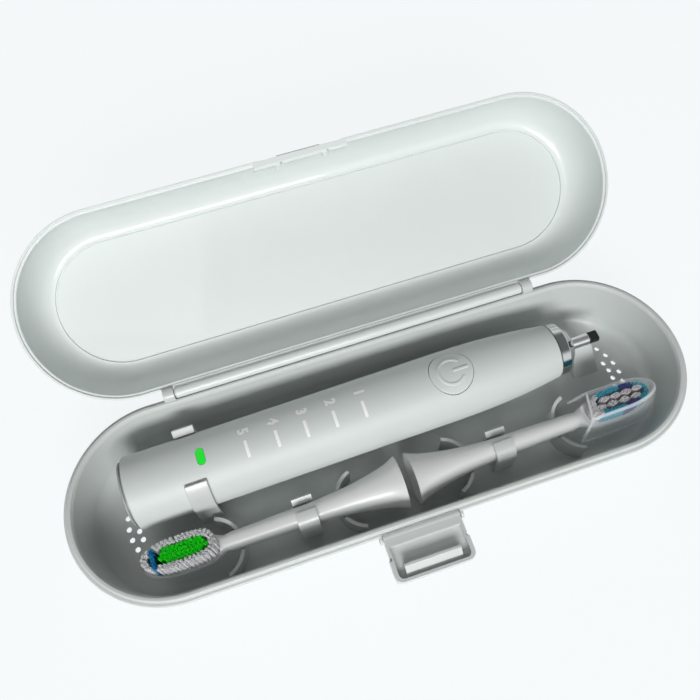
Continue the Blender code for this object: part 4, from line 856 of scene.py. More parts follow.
dress(shaft_block, tray_plastic, "base", "case_plastic", edge=0.0004, place=nest_place)


def ribbon(path, thickness):
    """The outline of a bent strip of even thickness along a path in a plane."""
    left, right_side = [], []
    for i, point in enumerate(path):
        here = Vector(point)
        before = Vector(path[max(i - 1, 0)])
        after = Vector(path[min(i + 1, len(path) - 1)])
        into = (here - before).normalized() if i else (after - here).normalized()
        out = (after - here).normalized() if i < len(path) - 1 else into
        mean = (into + out).normalized()
        across = Vector((-mean.y, mean.x)) * thickness / 2 / max(mean.dot(into), 0.5)
        left.append(tuple(here + across))
        right_side.append(tuple(here - across))
    return left + right_side[::-1]


def clip_side(grip, thickness, drop, tip_angle, flare_angle, flare):
    """A snap clip from the side: hooked front arm, foot on the floor, and back arm with a lead-in lip."""
    radius = grip + thickness / 2
    foot = -drop + thickness / 2
    path = arc((0, 0), radius, math.pi / 2 + tip_angle, math.pi, 16)
    path += eased((
        (-radius, -FIT, 0), (-radius, foot, CLIP_FOOT_ROUNDING), (radius, foot, CLIP_FOOT_ROUNDING),
        (radius, -FIT, 0),
    ))[1:-1]
    path += arc((0, 0), radius, 0, flare_angle, 8)
    lead = Vector((math.cos(CLIP_LEAD_ANGLE), math.sin(CLIP_LEAD_ANGLE))) * flare
    path.append(tuple(Vector(path[-1]) + lead))
    return ribbon(path, thickness)


clip_plastic = case_plastic("clip_plastic", CLIP_SHADED_COLOUR, 0.34, 0.25)
neck_clip = (0.0072, 0.0045, 0.0012, -4, 12, 0.0018)
for clip_name, x, line, (width, grip, thickness, tip, flare_angle, flare) in (
    ("handle_clip", HANDLE_CLIP_X, handle_line, (0.0077, 0.0133, 0.0013, 35, 30, 0.0024)),
    ("neck_clip_a", NEST_CENTRE_X - NECK_CLIP_DISTANCE, BRUSH_LINE, neck_clip),
    ("neck_clip_b", NEST_CENTRE_X + NECK_CLIP_DISTANCE, BRUSH_LINE, neck_clip),
):
    spot = Vector((x, line.y, line.z))
    outline = clip_side(
        grip, thickness, spot.z - TRAY_FLOOR - FIT, math.radians(tip), math.radians(flare_angle), flare
    )
    clip = solid(clip_name, extrusion(outline, -width / 2, width / 2), nest_place @ Matrix.Translation(spot))
    dress(clip, clip_plastic, "base", "case_plastic", clip_name, edge=0.0003)

# The lid
# A domed shell moulded from the same plastic, polished inside, with a flat panel framed by a fine groove.
# A pocket in its front takes the latch's hook over a ridge, and a barrel with stub pins runs along the hinge.
LID_DEPTH = 0.0182
LID_WALL = 0.0016
LID_PANEL_RADIUS = 0.02315
LID_PANEL_STEP = 0.0003
LID_GROOVE_WIDTH = 0.0005
LID_GROOVE_DEPTH = 0.0007
LID_RIM_WALL = 0.0017
LID_RIM_STEPS = ((0.0008, FIT, 0.00025), (0.0009, 0.0010, 0.00015))
# Lighter than the tray's tone of the same plastic: painted light for the lid's face turned to the lamps
LID_LIT_COLOUR = (0.745, 0.79, 0.775)
BARREL_RADIUS = 0.0020
BARREL_PIN_LENGTH = 0.0038
BARREL_WEB = 0.0016
POCKET_HALF_WIDTH = 0.0172
POCKET_DEPTH = 0.0013
POCKET_HEIGHT = 0.0110
RIDGE_HALF_LENGTH = 0.0080
RIDGE_HEIGHT = 0.0021
RIDGE_TOP = 0.0059
RIDGE_PROUD = 0.0005
LUG_ROOM = 0.0046
LID_SPRING = 0.0020
LID_DOME_STEPS = 22
POCKET_RIM_TOP = 0.0021
CATCH_WIDTH = 0.0018
CATCH_HEIGHT = 0.0026
CATCH_FOOT = 0.0013
CATCH_SLOT = 0.0007
CATCH_DISTANCE = 0.0087
lid_open_angle = math.radians(-joints["lid_hinge"]["range_deg"][0])
lid_place = Matrix.Translation(hinge_spot) @ Matrix.Rotation(-lid_open_angle, 4, "X")
lid_top = LID_DEPTH + LID_WALL
lid_inner = rim_radius - LID_RIM_WALL
lid_outside = arc(
    (LID_PANEL_RADIUS + FIT, 2 * FIT), (rim_radius - LID_PANEL_RADIUS - FIT, lid_top - 2 * FIT),
    math.pi / 2, 0, LID_DOME_STEPS,
)
lid_rim = eased((
    (rim_radius, 2 * FIT, 0), (rim_radius, FIT, 0.0002),
    *((rim_radius - inward, height, rounding) for inward, height, rounding in LID_RIM_STEPS),
    (lid_inner, 0.0011, 0.0003), (lid_inner - FIT / 3, 0.0019, 0),
))[1:]
lid_inside = arc(
    (LID_PANEL_RADIUS, LID_SPRING), (lid_inner - FIT / 3 - LID_PANEL_RADIUS, LID_DEPTH - LID_SPRING),
    0, math.pi / 2, LID_DOME_STEPS,
)
lid_step = [
    (LID_PANEL_RADIUS - 0.0001, LID_DEPTH + LID_GROOVE_DEPTH),
    (LID_PANEL_RADIUS - 0.0001 - LID_GROOVE_WIDTH, LID_DEPTH + LID_GROOVE_DEPTH),
    (LID_PANEL_RADIUS - 0.0003 - LID_GROOVE_WIDTH, LID_DEPTH + LID_PANEL_STEP),
]
lid_profile = lid_outside + lid_rim + lid_inside + lid_step
lid = solid("lid", loft([stadium(r, h, -hinge_spot.y) for r, h in lid_profile]))
lid_front = -hinge_spot.y - rim_radius
pocket_back = lid_front + POCKET_DEPTH
join(lid, latch_box(
    POCKET_HALF_WIDTH, (lid_front + TRAY_WALL / 2, 4 * FIT), (pocket_back + LID_WALL, LID_DEPTH / 2)
))
carve(lid, latch_box(
    POCKET_HALF_WIDTH - LID_WALL, (lid_front - OVERRUN, -OVERRUN), (pocket_back, POCKET_HEIGHT)
))
join(lid, latch_box(
    POCKET_HALF_WIDTH, (lid_front + FIT / 3, FIT), (pocket_back + LID_WALL / 2, POCKET_RIM_TOP)
))
ridge_face = lid_front - RIDGE_PROUD
ridge_side = (
    (pocket_back + FIT, RIDGE_TOP - RIDGE_HEIGHT), (ridge_face, RIDGE_TOP - RIDGE_HEIGHT * 0.6),
    (ridge_face, RIDGE_TOP), (pocket_back + FIT, RIDGE_TOP),
)
join(lid, extrusion(ridge_side, latch_spot.x - RIDGE_HALF_LENGTH, latch_spot.x + RIDGE_HALF_LENGTH))
catch_face = pocket_back + LID_WALL
for side in (-1, 1):
    x = latch_spot.x + side * CATCH_DISTANCE
    catch_side = (
        (catch_face - FIT, CATCH_FOOT), (catch_face + CATCH_WIDTH * 0.8, CATCH_FOOT),
        (catch_face + FIT, CATCH_HEIGHT + 3 * FIT), (catch_face - FIT, CATCH_HEIGHT + 3 * FIT),
    )
    join(lid, extrusion(catch_side, x - CATCH_WIDTH / 2, x + CATCH_WIDTH / 2))
    carve(lid, box(
        (x + CATCH_WIDTH / 2, catch_face - CATCH_SLOT, 0.0012),
        (x + CATCH_WIDTH / 2 + CATCH_SLOT, catch_face + OVERRUN, CATCH_HEIGHT + 2 * FIT),
    ))
for start in (-HINGE_BARREL_HALF - LUG_ROOM, HINGE_BARREL_HALF):
    carve(lid, bar(start, start + LUG_ROOM, HINGE_LUG_RADIUS + FIT))
lid_plastic = case_plastic("lid_plastic", LID_LIT_COLOUR, 0.46, 0.35, 0.05)
dress(lid, lid_plastic, "lid", "case_plastic", "lid_shell", sharp=32, place=lid_place)

barrel_end = HINGE_BARREL_HALF + BARREL_PIN_LENGTH
barrel_profile = eased(mirrored((
    (-barrel_end, 0, 0), (-barrel_end, HINGE_PIN_RADIUS, 0.0002),
    (-HINGE_BARREL_HALF, HINGE_PIN_RADIUS, 0), (-HINGE_BARREL_HALF, BARREL_RADIUS, 0.0003),
)))
barrel = solid("hinge_barrel", revolve(barrel_profile, 48, closed=False))
join(barrel, box(
    (-HINGE_BARREL_HALF + FIT, rim_radius - hinge_spot.y - LID_RIM_WALL / 2, FIT),
    (HINGE_BARREL_HALF - FIT, 0, FIT + BARREL_WEB),
))
dress(barrel, lid_plastic, "lid", "case_plastic", place=lid_place)

# The latch
# A fold-out flap that turns on pins in the tray's ears. Its strip lies against the lip, and its shallow
# tray holds the hook bar that snaps over the ridge in the lid's pocket.
LATCH_LENGTH = 0.0152
LATCH_TOP = 0.0013
LATCH_WALL = 0.0010
LATCH_NOTCH = 0.0011
LATCH_FLOOR = 0.0010
LATCH_STRIP = 0.0032
LATCH_CORNER = 0.0030
LATCH_FLANGE = 0.0004
LATCH_FLANGE_AT = 0.0072
LATCH_HUB_RADIUS = 0.0015
HOOK_HALF_LENGTH = 0.00975
HOOK_AT = 0.0097
HOOK_THICKNESS = 0.0013
HOOK_PROUD = 0.0006
LATCH_COLOUR = (0.66, 0.69, 0.68)
wide = LATCH_HALF_WIDTH + LATCH_FLANGE
flap_plan = eased(mirrored((
    (LATCH_HALF_WIDTH, 0, 0.0003), (LATCH_HALF_WIDTH, -LATCH_FLANGE_AT, 0.0001),
    (wide, -LATCH_FLANGE_AT, 0.00015), (wide, -LATCH_LENGTH, LATCH_CORNER),
)), steps=8, closed=True)
flap = solid("latch_flap", slab(flap_plan, -LATCH_UNDERSIDE, LATCH_TOP))
for side in (-1, 1):
    low, high = span(side, LATCH_HALF_WIDTH - 2 * FIT, wide + OVERRUN)
    carve(flap, box(
        (low, -LATCH_FLANGE_AT - LATCH_NOTCH / 2, -FIT),
        (high, -LATCH_FLANGE_AT + LATCH_NOTCH / 2, LATCH_TOP + OVERRUN),
    ))
inner_wide = LATCH_HALF_WIDTH - LATCH_WALL
recess_plan = eased(mirrored((
    (inner_wide, -LATCH_STRIP, 0.0003),
    (inner_wide, -LATCH_LENGTH + LATCH_WALL, LATCH_CORNER - LATCH_WALL),
)), steps=8, closed=True)
carve(flap, slab(recess_plan, -LATCH_UNDERSIDE + LATCH_FLOOR, LATCH_TOP + OVERRUN))
carve(flap, box(
    (-LATCH_HALF_WIDTH - OVERRUN, -LATCH_HUB_RADIUS, -LATCH_UNDERSIDE - OVERRUN),
    (LATCH_HALF_WIDTH + OVERRUN, OVERRUN, LATCH_TOP - LATCH_FLOOR),
))
hook_top = LATCH_TOP + HOOK_PROUD
hook_floor = -LATCH_UNDERSIDE + LATCH_FLOOR / 2
hook_outer = -LATCH_LENGTH + LATCH_WALL / 2
hook_side = eased((
    (-HOOK_AT, hook_floor, 0), (hook_outer, hook_floor, 0),
    (hook_outer, -LATCH_UNDERSIDE + 1.3 * LATCH_FLOOR, 0),
    (-HOOK_AT - 0.8 * HOOK_THICKNESS, hook_top, 0.0004), (-HOOK_AT, hook_top, 0.0004),
), closed=True)
join(flap, extrusion(hook_side, -HOOK_HALF_LENGTH, HOOK_HALF_LENGTH))
pin_end = LATCH_HALF_WIDTH + EAR_THICKNESS
hub_profile = mirrored((
    (-pin_end, 0), (-pin_end, LATCH_PIN_RADIUS), (-LATCH_HALF_WIDTH, LATCH_PIN_RADIUS),
    (-LATCH_HALF_WIDTH, LATCH_HUB_RADIUS),
))
join(flap, revolve(hub_profile, 32, closed=False))
latch_plastic = case_plastic("latch_plastic", LATCH_COLOUR, 0.34, 0.3)
dress(flap, latch_plastic, "latch", "case_plastic", "latch_flap", edge=0.00025, sharp=50, place=at_latch)

# The handle's housing
# A matte moulded tube that narrows to the neck, with a round seat for the button and a slot for the lamp.
HANDLE_RADIUS = 0.0130
HANDLE_WALL = 0.0016
NECK_RADIUS = 0.0100
TAPER_LENGTH = 0.0428
TAPER_POWER = 2.2
TAPER_STEPS = 24
BUTTON_FROM_NECK = 0.0409
BUTTON_RADIUS = 0.0079
BUTTON_PROUD = 0.0002
LAMP_FROM_TAIL = 0.0269
TAIL_TRIM = 0.0006
NECK_TRIM = 0.0012
LAMP_WIDTH = 0.0027
LAMP_LENGTH = 0.0060
SEAT_HEIGHT = 0.0071
HANDLE_COLOUR = (0.66, 0.705, 0.685)
handle_place = nest_place @ Matrix.Translation((0, handle_line.y, handle_line.z))
in_handle = handle_place.inverted()


def reach_in_handle(node):
    """The lowest and highest place of a node along the handle's own axis."""
    along = [(in_handle @ v.co).x for v in frame["nodes"][node].data.vertices]
    return min(along), max(along)


tail_x, neck_x = reach_in_handle("handle_housing")
tail_x += TAIL_TRIM
neck_x -= NECK_TRIM
button_x = neck_x - BUTTON_FROM_NECK
lamp_x = tail_x + LAMP_FROM_TAIL


def housing_radius(x):
    """The handle's outer radius at a place along it."""
    share = max(0.0, (x - (neck_x - TAPER_LENGTH)) / TAPER_LENGTH)
    return HANDLE_RADIUS - (HANDLE_RADIUS - NECK_RADIUS) * share ** TAPER_POWER


taper = [neck_x - TAPER_LENGTH * (1 - k / TAPER_STEPS) for k in range(TAPER_STEPS)]
housing_outside = eased((
    (tail_x, HANDLE_RADIUS - HANDLE_WALL, 0), (tail_x, HANDLE_RADIUS, 0.0005),
    (neck_x - TAPER_LENGTH - FIT, HANDLE_RADIUS, 0),
))
housing_outside += [(x, housing_radius(x)) for x in taper]
housing_outside += eased((
    (taper[-1] + FIT, housing_radius(taper[-1] + FIT), 0), (neck_x, NECK_RADIUS, 0.0003),
    (neck_x, NECK_RADIUS - HANDLE_WALL, 0),
))
housing_inside = [(x, housing_radius(x) - HANDLE_WALL) for x in reversed(taper)]
housing = solid("handle_housing", revolve(housing_outside + housing_inside, 128))


def pill(centre_x, width, length):
    """A plan outline with round ends, lying across the handle."""
    radius = width / 2
    reach = length / 2 - radius
    ends = arc((centre_x, reach), radius, 0, math.pi, 12)
    return ends + arc((centre_x, -reach), radius, math.pi, math.tau, 12)


def button_plan(radius, steps):
    """A round plan outline centred on the button."""
    return [(button_x + x, y) for x, y in oval(radius, radius, steps=steps)]


for plan in (button_plan(BUTTON_RADIUS + FIT / 2, 96), pill(lamp_x, LAMP_WIDTH + FIT, LAMP_LENGTH + FIT)):
    carve(housing, slab(plan, SEAT_HEIGHT, HANDLE_RADIUS + OVERRUN))


def matte_plastic(name, colour, roughness):
    """Moulded plastic with a fine matte grain."""
    return Finish(name, colour, roughness).mottle(60, 0.015).uneven(150, 0.05).grain(5200, 0.000006)


handle_plastic = matte_plastic("handle_plastic", HANDLE_COLOUR, 0.50)
dress(housing, handle_plastic, "handle", "handle_plastic", "handle_housing", place=handle_place)

# The end cap, the chrome collar and the drive shaft
# The tail is closed by a pressed-in cap with a shadow gap. At the neck a chromed ring with a chamfered face
# holds the seal, and the hardened steel shaft stands out of it. Its flatted tip is coloured near black as
# painted shade for the dark end of the shaft.
END_CAP_LENGTH = 0.0032
END_CAP_SHOWN = 0.0012
END_CAP_GROOVE = 0.00045
END_CAP_RADIUS = 0.0117
END_CAP_PLUG = 0.0050
GASKET_HALF = 0.0008
GASKET_DEPTH = 0.0011
END_CAP_COLOUR = (0.36, 0.385, 0.38)
COLLAR_NOSE_RADIUS = 0.0042
COLLAR_SPIGOT = 0.0053
COLLAR_SPIGOT_GAP = 0.00045
COLLAR_BAND = 0.0034
COLLAR_LIP = 0.0009
SEAL_LENGTH = 0.0026
SEAL_SEAT = 0.0037
SHAFT_FLAT_LENGTH = 0.0040
SHAFT_FLAT_HEIGHT = 0.0012
cap_low, cap_high = reach_in_handle("end_cap")
plug_radius = HANDLE_RADIUS - HANDLE_WALL - FIT
cap_joint = cap_low + END_CAP_LENGTH + TAIL_TRIM
gasket_middle = cap_joint + END_CAP_PLUG / 2
gasket_seat = plug_radius - GASKET_DEPTH
end_cap_profile = eased((
    (cap_joint - END_CAP_SHOWN, 0, 0), (cap_joint - END_CAP_SHOWN, END_CAP_RADIUS, 0.0009),
    (cap_joint - END_CAP_GROOVE, END_CAP_RADIUS, 0.0002), (cap_joint - END_CAP_GROOVE, plug_radius, 0),
    (gasket_middle - GASKET_HALF, plug_radius, 0), (gasket_middle - GASKET_HALF, gasket_seat, 0),
    (gasket_middle + GASKET_HALF, gasket_seat, 0), (gasket_middle + GASKET_HALF, plug_radius, 0),
    (cap_high, plug_radius, 0.0003), (cap_high, 0, 0),
))
end_cap = solid("end_cap", revolve(end_cap_profile, closed=False), handle_place)
cap_plastic = matte_plastic("end_cap_plastic", END_CAP_COLOUR, 0.42)
dress(end_cap, cap_plastic, "handle", "handle_plastic", "end_cap")

collar_start, collar_end = reach_in_handle("chrome_collar")
collar_seat = collar_start + COLLAR_SPIGOT - NECK_TRIM
spigot = NECK_RADIUS - HANDLE_WALL - COLLAR_SPIGOT_GAP
dome = eased((
    (collar_seat, NECK_RADIUS - FIT / 3, 0), (collar_seat + COLLAR_BAND, NECK_RADIUS - FIT, 0.0005),
    (collar_end - COLLAR_LIP, COLLAR_NOSE_RADIUS + 2 * COLLAR_LIP, 0.0003),
    (collar_end - COLLAR_LIP, COLLAR_NOSE_RADIUS + COLLAR_LIP, 0.0002),
    (collar_end, COLLAR_NOSE_RADIUS, 0.0003),
), steps=6)
seal_back = collar_end - SEAL_LENGTH - FIT
collar_bore = SHAFT_RADIUS + 2 * FIT
collar = solid("chrome_collar", revolve([
    (collar_start, collar_bore), (collar_start, spigot), (collar_seat, spigot), *dome,
    (collar_end, SEAL_SEAT), (seal_back, SEAL_SEAT), (seal_back, collar_bore),
]), handle_place)
chrome = Finish("chrome", (0.62, 0.63, 0.63), 0.06, metallic=1.0).uneven(300, 0.025).grain(900, 0.0000015)
dress(collar, chrome, "handle", "chrome", "chrome_collar")

shaft_start, shaft_end = reach_in_handle("drive_shaft")
tip_start = shaft_end - SHAFT_FLAT_LENGTH
shaft = solid("drive_shaft", bar(shaft_start, tip_start, SHAFT_RADIUS, 64, rounding=0.0002), handle_place)
tip = solid("drive_shaft_tip", bar(tip_start, shaft_end, SHAFT_RADIUS - FIT / 6, 64, rounding=0.0004))
carve(tip, box(
    (tip_start + FIT, -SHAFT_RADIUS - OVERRUN, SHAFT_FLAT_HEIGHT),
    (shaft_end + OVERRUN, SHAFT_RADIUS + OVERRUN, SHAFT_RADIUS + OVERRUN),
))
steel = Finish(
    "turned_steel", (0.84, 0.85, 0.85), 0.34, metallic=1.0
).uneven(500, 0.04).grain(900, 0.0000015, stretch=(6.0, 0.4, 0.4))
# The flatted tip's near-black steel is painted shade for the dark end of the shaft
tip_steel_painted_shade = Finish(
    "blackened_steel", (0.045, 0.047, 0.05), 0.34, metallic=0.6
).uneven(500, 0.05).grain(1400, 0.000002)
dress(shaft, steel, "shaft", "steel", "drive_shaft")
dress(tip, tip_steel_painted_shade, "shaft", "steel", place=handle_place)

# The button and its power sign
# A round moulded cap that follows the handle's curve, with a hair-line gap round it and the standard power
# sign raised on it. Its stem reaches down through the housing to the switch.
BUTTON_SKIN = 0.0012
BUTTON_ROUNDING = 0.0003
BUTTON_RINGS = 14
BUTTON_STEPS = 96
BUTTON_STEM_RADIUS = 0.0015
SIGN_RADIUS = 0.0047
SIGN_WIDTH = 0.0013
SIGN_HEIGHT = 0.00030
SIGN_GAP_ANGLE = math.radians(38)
SIGN_BAR_START = 0.0006
SIGN_BAR_END = 0.0062
button_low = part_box("power_button")[0]


def on_handle(along, around, height=0.0):
    """A point over the handle's round skin, by its place along it, its distance round and its height."""
    angle = around / HANDLE_RADIUS
    reach = HANDLE_RADIUS + height
    return Vector((along, reach * math.sin(angle), reach * math.cos(angle)))


def skin_disc(centre_x, radius, low, high):
    """A disc that follows the handle's curve, with a softened edge."""
    flat = radius - BUTTON_ROUNDING
    profile = [(radius * k / BUTTON_RINGS, low) for k in range(1, BUTTON_RINGS + 1)]
    profile += arc((flat, high - BUTTON_ROUNDING), BUTTON_ROUNDING, 0, math.pi / 2, 4)
    profile += [(flat * k / BUTTON_RINGS, high) for k in range(BUTTON_RINGS - 1, 0, -1)]
    turns = [math.tau * k / BUTTON_STEPS for k in range(BUTTON_STEPS)]
    bm = bmesh.new()
    levels = [[bm.verts.new(on_handle(centre_x, 0, low - HANDLE_RADIUS))]]
    for reach, level in profile:
        levels.append([])
        for a in turns:
            around = HANDLE_RADIUS * math.asin(reach * math.sin(a) / HANDLE_RADIUS)
            levels[-1].append(bm.verts.new(
                on_handle(centre_x + reach * math.cos(a), around, level - HANDLE_RADIUS)
            ))
    levels.append([bm.verts.new(on_handle(centre_x, 0, high - HANDLE_RADIUS))])
    bridge(bm, levels)
    return bm


button_top = HANDLE_RADIUS + BUTTON_PROUD
button = solid("power_button", skin_disc(button_x, BUTTON_RADIUS, button_top - BUTTON_SKIN, button_top))
stem_low = (in_handle @ Vector((0, 0, button_low.z))).z + joints["button_press"]["range_m"][1]
join(button, slab(button_plan(BUTTON_STEM_RADIUS, 32), stem_low, button_top - BUTTON_SKIN / 2))


def raised_line(name, line, width, height, base):
    """A raised bead with a round top along a line of (along, around) points on the handle's skin."""
    section = [(width / 2 * math.cos(a), height * math.sin(a)) for a in (math.pi * k / 8 for k in range(9))]
    section += [(-width / 2, -height), (width / 2, -height)]
    rings = []
    for i, point in enumerate(line):
        ahead = Vector(line[min(i + 1, len(line) - 1)]) - Vector(line[max(i - 1, 0)])
        side = Vector((-ahead.y, ahead.x)).normalized()
        rings.append([
            on_handle(point[0] + side.x * a, point[1] + side.y * a, base - HANDLE_RADIUS + h)
            for a, h in section
        ])
    return solid(name, loft(rings))


sign_arc = arc((button_x, 0), SIGN_RADIUS, SIGN_GAP_ANGLE, math.tau - SIGN_GAP_ANGLE, 56)
sign_bar = [(button_x + SIGN_BAR_START + (SIGN_BAR_END - SIGN_BAR_START) * k / 10, 0) for k in range(11)]
for sign_name, line in (("power_sign_ring", sign_arc), ("power_sign_bar", sign_bar)):
    sign = raised_line(sign_name, line, SIGN_WIDTH, SIGN_HEIGHT, button_top)
    dress(sign, handle_plastic, "button", "handle_plastic", sharp=60, place=handle_place)
dress(button, handle_plastic, "button", "handle_plastic", "power_button", place=handle_place)

# The lamp and the printed marks
# A green pill of clear plastic, lit from behind, and five white numerals printed across the handle, each
# with a dash. The print is a thin film of ink on the skin.
LAMP_GREEN = (0.012, 0.62, 0.028)
LAMP_GLOW = 0.47
PRINT_HEIGHT = 0.00003
PRINT_THICKNESS = 0.00006
NUMERAL_SIZE = 0.0050
NUMERAL_WEIGHT = 0.00022
MARKS_X = (-0.0050, -0.0156, -0.0260, -0.0363, -0.0470)
MARK_AROUND = 0.0014
MARK_NUMERAL_SHIFT = 0.0038
MARK_DASH_LENGTH = 0.0060
MARK_DASH_WIDTH = 0.0011
LAMP_LEVELS = ((1.0, -0.00114), (1.0, -0.00016), (0.96, -0.00004), (0.6, -0.00004))
lamp_plan = pill(lamp_x, LAMP_WIDTH, LAMP_LENGTH)
lamp = solid("lamp_lens", loft([
    [on_handle(lamp_x + (x - lamp_x) * share, y * share, level) for x, y in lamp_plan]
    for share, level in LAMP_LEVELS
]), handle_place)
lamp_green = Finish(
    "lamp_green", LAMP_GREEN, 0.22, emission_strength=LAMP_GLOW, emission_color=(*LAMP_GREEN, 1)
)
lamp_green.mottle(900, 0.03).uneven(700, 0.05)
dress(lamp, lamp_green, "handle", "lamp", "led_lens", sharp=40)

white_print = Finish("white_print", (0.97, 0.97, 0.97), 0.5).mottle(2500, 0.015).uneven(1500, 0.08)
for number, mark_x in enumerate(MARKS_X, 1):
    letters = bpy.data.curves.new("numeral_" + str(number), "FONT")
    letters.body = str(number)
    letters.size = NUMERAL_SIZE
    letters.offset = NUMERAL_WEIGHT
    letters.align_x = "LEFT"
    letters.align_y = "CENTER"
    letters.extrude = PRINT_THICKNESS / 2
    writing = placed("writing", letters)
    bm = bmesh.new()
    bm.from_mesh(plain(writing))
    bpy.data.objects.remove(writing, do_unlink=True)
    bmesh.ops.remove_doubles(bm, verts=bm.verts, dist=0.000001)
    for v in bm.verts:
        around = MARK_AROUND + MARK_NUMERAL_SHIFT - v.co.x
        v.co = on_handle(mark_x + v.co.y, around, PRINT_HEIGHT + v.co.z)
    numeral = solid("numeral_" + str(number), bm, handle_place)
    dress(numeral, white_print, "handle", "handle_plastic", sharp=40)
    dash_start = MARK_AROUND + MARK_NUMERAL_SHIFT - NUMERAL_SIZE
    dash = [(mark_x, dash_start - MARK_DASH_LENGTH * k / 12) for k in range(13)]
    dash = raised_line("dash_" + str(number), dash, MARK_DASH_WIDTH, PRINT_THICKNESS, HANDLE_RADIUS)
    dress(dash, white_print, "handle", "handle_plastic", sharp=60, place=handle_place)

# The bristles
# Nylon tufts stapled into the field, each a bundle of strands that stand nearly upright. A Geometry Nodes
# tree sets a bundle on every tuft place and tilts each strand a little. The stem's pale tufts are extra.
BRISTLE_FOOT = HEAD_HALF_THICKNESS - FIELD_DEPTH
MM = 0.001
TALL_BRISTLES = 10.3 * MM
LOW_BRISTLES = 8.8 * MM
TUFT_RADIUS = 0.54 * MM
TUFT_STRANDS = 20
STRAND_FILL = 0.92
STRAND_TIP_SHARE = 0.90
STRAND_LEAN = 0.022
SHORTEST_STRAND_SHARE = 0.975
GOLDEN_ANGLE = 2.39996
STAGGERED_ROW_SHARE = 0.87


def nylon(name, colour):
    """Drawn nylon: a soft sheen, and a tone that changes from strand to strand."""
    finish = Finish(name, colour, 0.38, subsurface_weight=0.12, subsurface_scale=0.0006)
    return finish.mottle(2200, 0.16, (1, 1, 0.12)).uneven(1800, 0.08)


def ring_places(pitch, shrink=0.0, group=1, gap=0.0, inset=TUFT_RADIUS, start=0.0):
    """Tuft places in a row round the field, evenly spaced or in groups with a gap between them."""
    line = field_outline(inset, 720, shrink)
    lengths = [0.0]
    for here, there in zip(line, line[1:] + line[:1]):
        lengths.append(lengths[-1] + math.dist(here, there))
    groups = round(lengths[-1] / (group * pitch + gap))
    places = []
    for k in range(groups):
        for part in range(group):
            share = ((part + 0.5) * pitch + gap / 2) / (group * pitch + gap)
            reach = lengths[-1] * ((k + share + start) / groups % 1)
            places.append(line[next(i for i, reached in enumerate(lengths) if reached >= reach) - 1])
    return places


def grid_places(half_length, half_width, centre, rows, pitch):
    """Tuft places in staggered rows inside an oval."""
    places = []
    for row in range(rows):
        v = (row - (rows - 1) / 2) * pitch * STAGGERED_ROW_SHARE
        for k in range(-12, 13):
            u = (k + (0.5 if row % 2 else 0)) * pitch
            if (u / half_length) ** 2 + (v / half_width) ** 2 <= 1:
                places.append((centre + u, v))
    return places


def bristles(
    name, places, radius, height, finish, letter, slot, node, seed, shape=1.0, strands=TUFT_STRANDS
):
    """One colour's tufts, grown on their places and turned into a plain mesh that stands for its node."""
    seeds = bmesh.new()
    for u, v in places:
        seeds.verts.new((field_u + u, v, BRISTLE_FOOT))
    piece = solid(name, seeds)
    recipe = Recipe(name)
    strand_count, tuft_radius, tuft_shape, strand_radius, strand_height, lean, random_seed = recipe.inputs(
        strands_in_a_tuft=strands, tuft_radius=radius, tuft_shape=shape,
        strand_radius=radius * math.sqrt(shape * STRAND_FILL / strands), strand_height=height,
        lean=STRAND_LEAN, seed=seed,
    )
    index = recipe.make("InputIndex")
    spread = recipe.maths("SQRT", (index + 0.5) / strand_count) * tuft_radius
    turn = index * GOLDEN_ANGLE
    spot = recipe.node("ShaderNodeCombineXYZ", None, {
        "X": recipe.maths("COSINE", turn) * spread * tuft_shape, "Y": recipe.maths("SINE", turn) * spread,
    })
    bundle = recipe.make("Points", {"Count": strand_count, "Position": spot})
    tufts = recipe.make("RealizeInstances", {
        "Geometry": recipe.make("InstanceOnPoints", {"Points": recipe.given(), "Instance": bundle}),
    })
    strand = recipe.make("MeshCone", {
        "Vertices": 6, "Side Segments": 1, "Fill Segments": 1, "Depth": strand_height,
        "Radius Top": strand_radius * STRAND_TIP_SHARE, "Radius Bottom": strand_radius,
    })
    low = recipe.node("ShaderNodeCombineXYZ", None, {"X": lean * -1, "Y": lean * -1, "Z": -math.pi})
    high = recipe.node("ShaderNodeCombineXYZ", None, {"X": lean, "Y": lean, "Z": math.pi})
    tilt, grow = [
        recipe.node(
            "FunctionNodeRandomValue", {"data_type": "FLOAT_VECTOR"}, {0: least, 1: most, "Seed": random_seed}
        )
        for least, most in ((low, high), ((1, 1, SHORTEST_STRAND_SHARE), (1, 1, 1)))
    ]
    grown = recipe.make("InstanceOnPoints", {
        "Points": tufts, "Instance": strand, "Rotation": tilt, "Scale": grow,
    })
    recipe.cook(piece, grown, finish)
    nodes = ["bristles_" + letter + "_" + node] if node else []
    dress(piece, finish, "brush_" + letter, slot, *nodes, sharp=50, place=brush_places[letter])


white, green, blue, grey, teal, navy = [nylon(name + "_nylon", colour) for name, colour in (
    ("white", (0.93, 0.92, 0.95)), ("green", (0.008, 0.90, 0.008)), ("blue", (0.010, 0.24, 0.52)),
    ("grey", (0.74, 0.71, 0.73)), ("teal", (0.006, 0.36, 0.52)), ("navy", (0.006, 0.025, 0.24)),
)]
ROW_U = 8.3 * MM
ROW_HALF = 1.18 * MM
GREEN_STEP = 0.5 * MM
CROWN_A_PITCH = 1.42 * MM
crown_a = ring_places(CROWN_A_PITCH) + ring_places(CROWN_A_PITCH, inset=TUFT_RADIUS + 1.0 * MM, start=0.5)
PALE_LOW = -8.0 * MM
NAVY_LOW = 2.0 * MM
NAVY_HIGH = 6.8 * MM
CROWN_B_SHIFT = 0.3 * MM
CROWN_B_RADIUS = 0.80 * MM
crown_b = [
    (u + CROWN_B_SHIFT, v)
    for u, v in ring_places(1.12 * MM, shrink=1.7 * MM, group=4, gap=0.50 * MM, inset=0.60 * MM)
]
navy_places = [p for p in crown_b if NAVY_LOW <= p[0] <= NAVY_HIGH]
grey_places = [
    (CROWN_B_SHIFT + (k - first) * pitch * MM, v * MM)
    for first, pitch, v in ((1.35, 4.2, 1.15), (1.80, 4.5, -1.25)) for k in range(4)
]
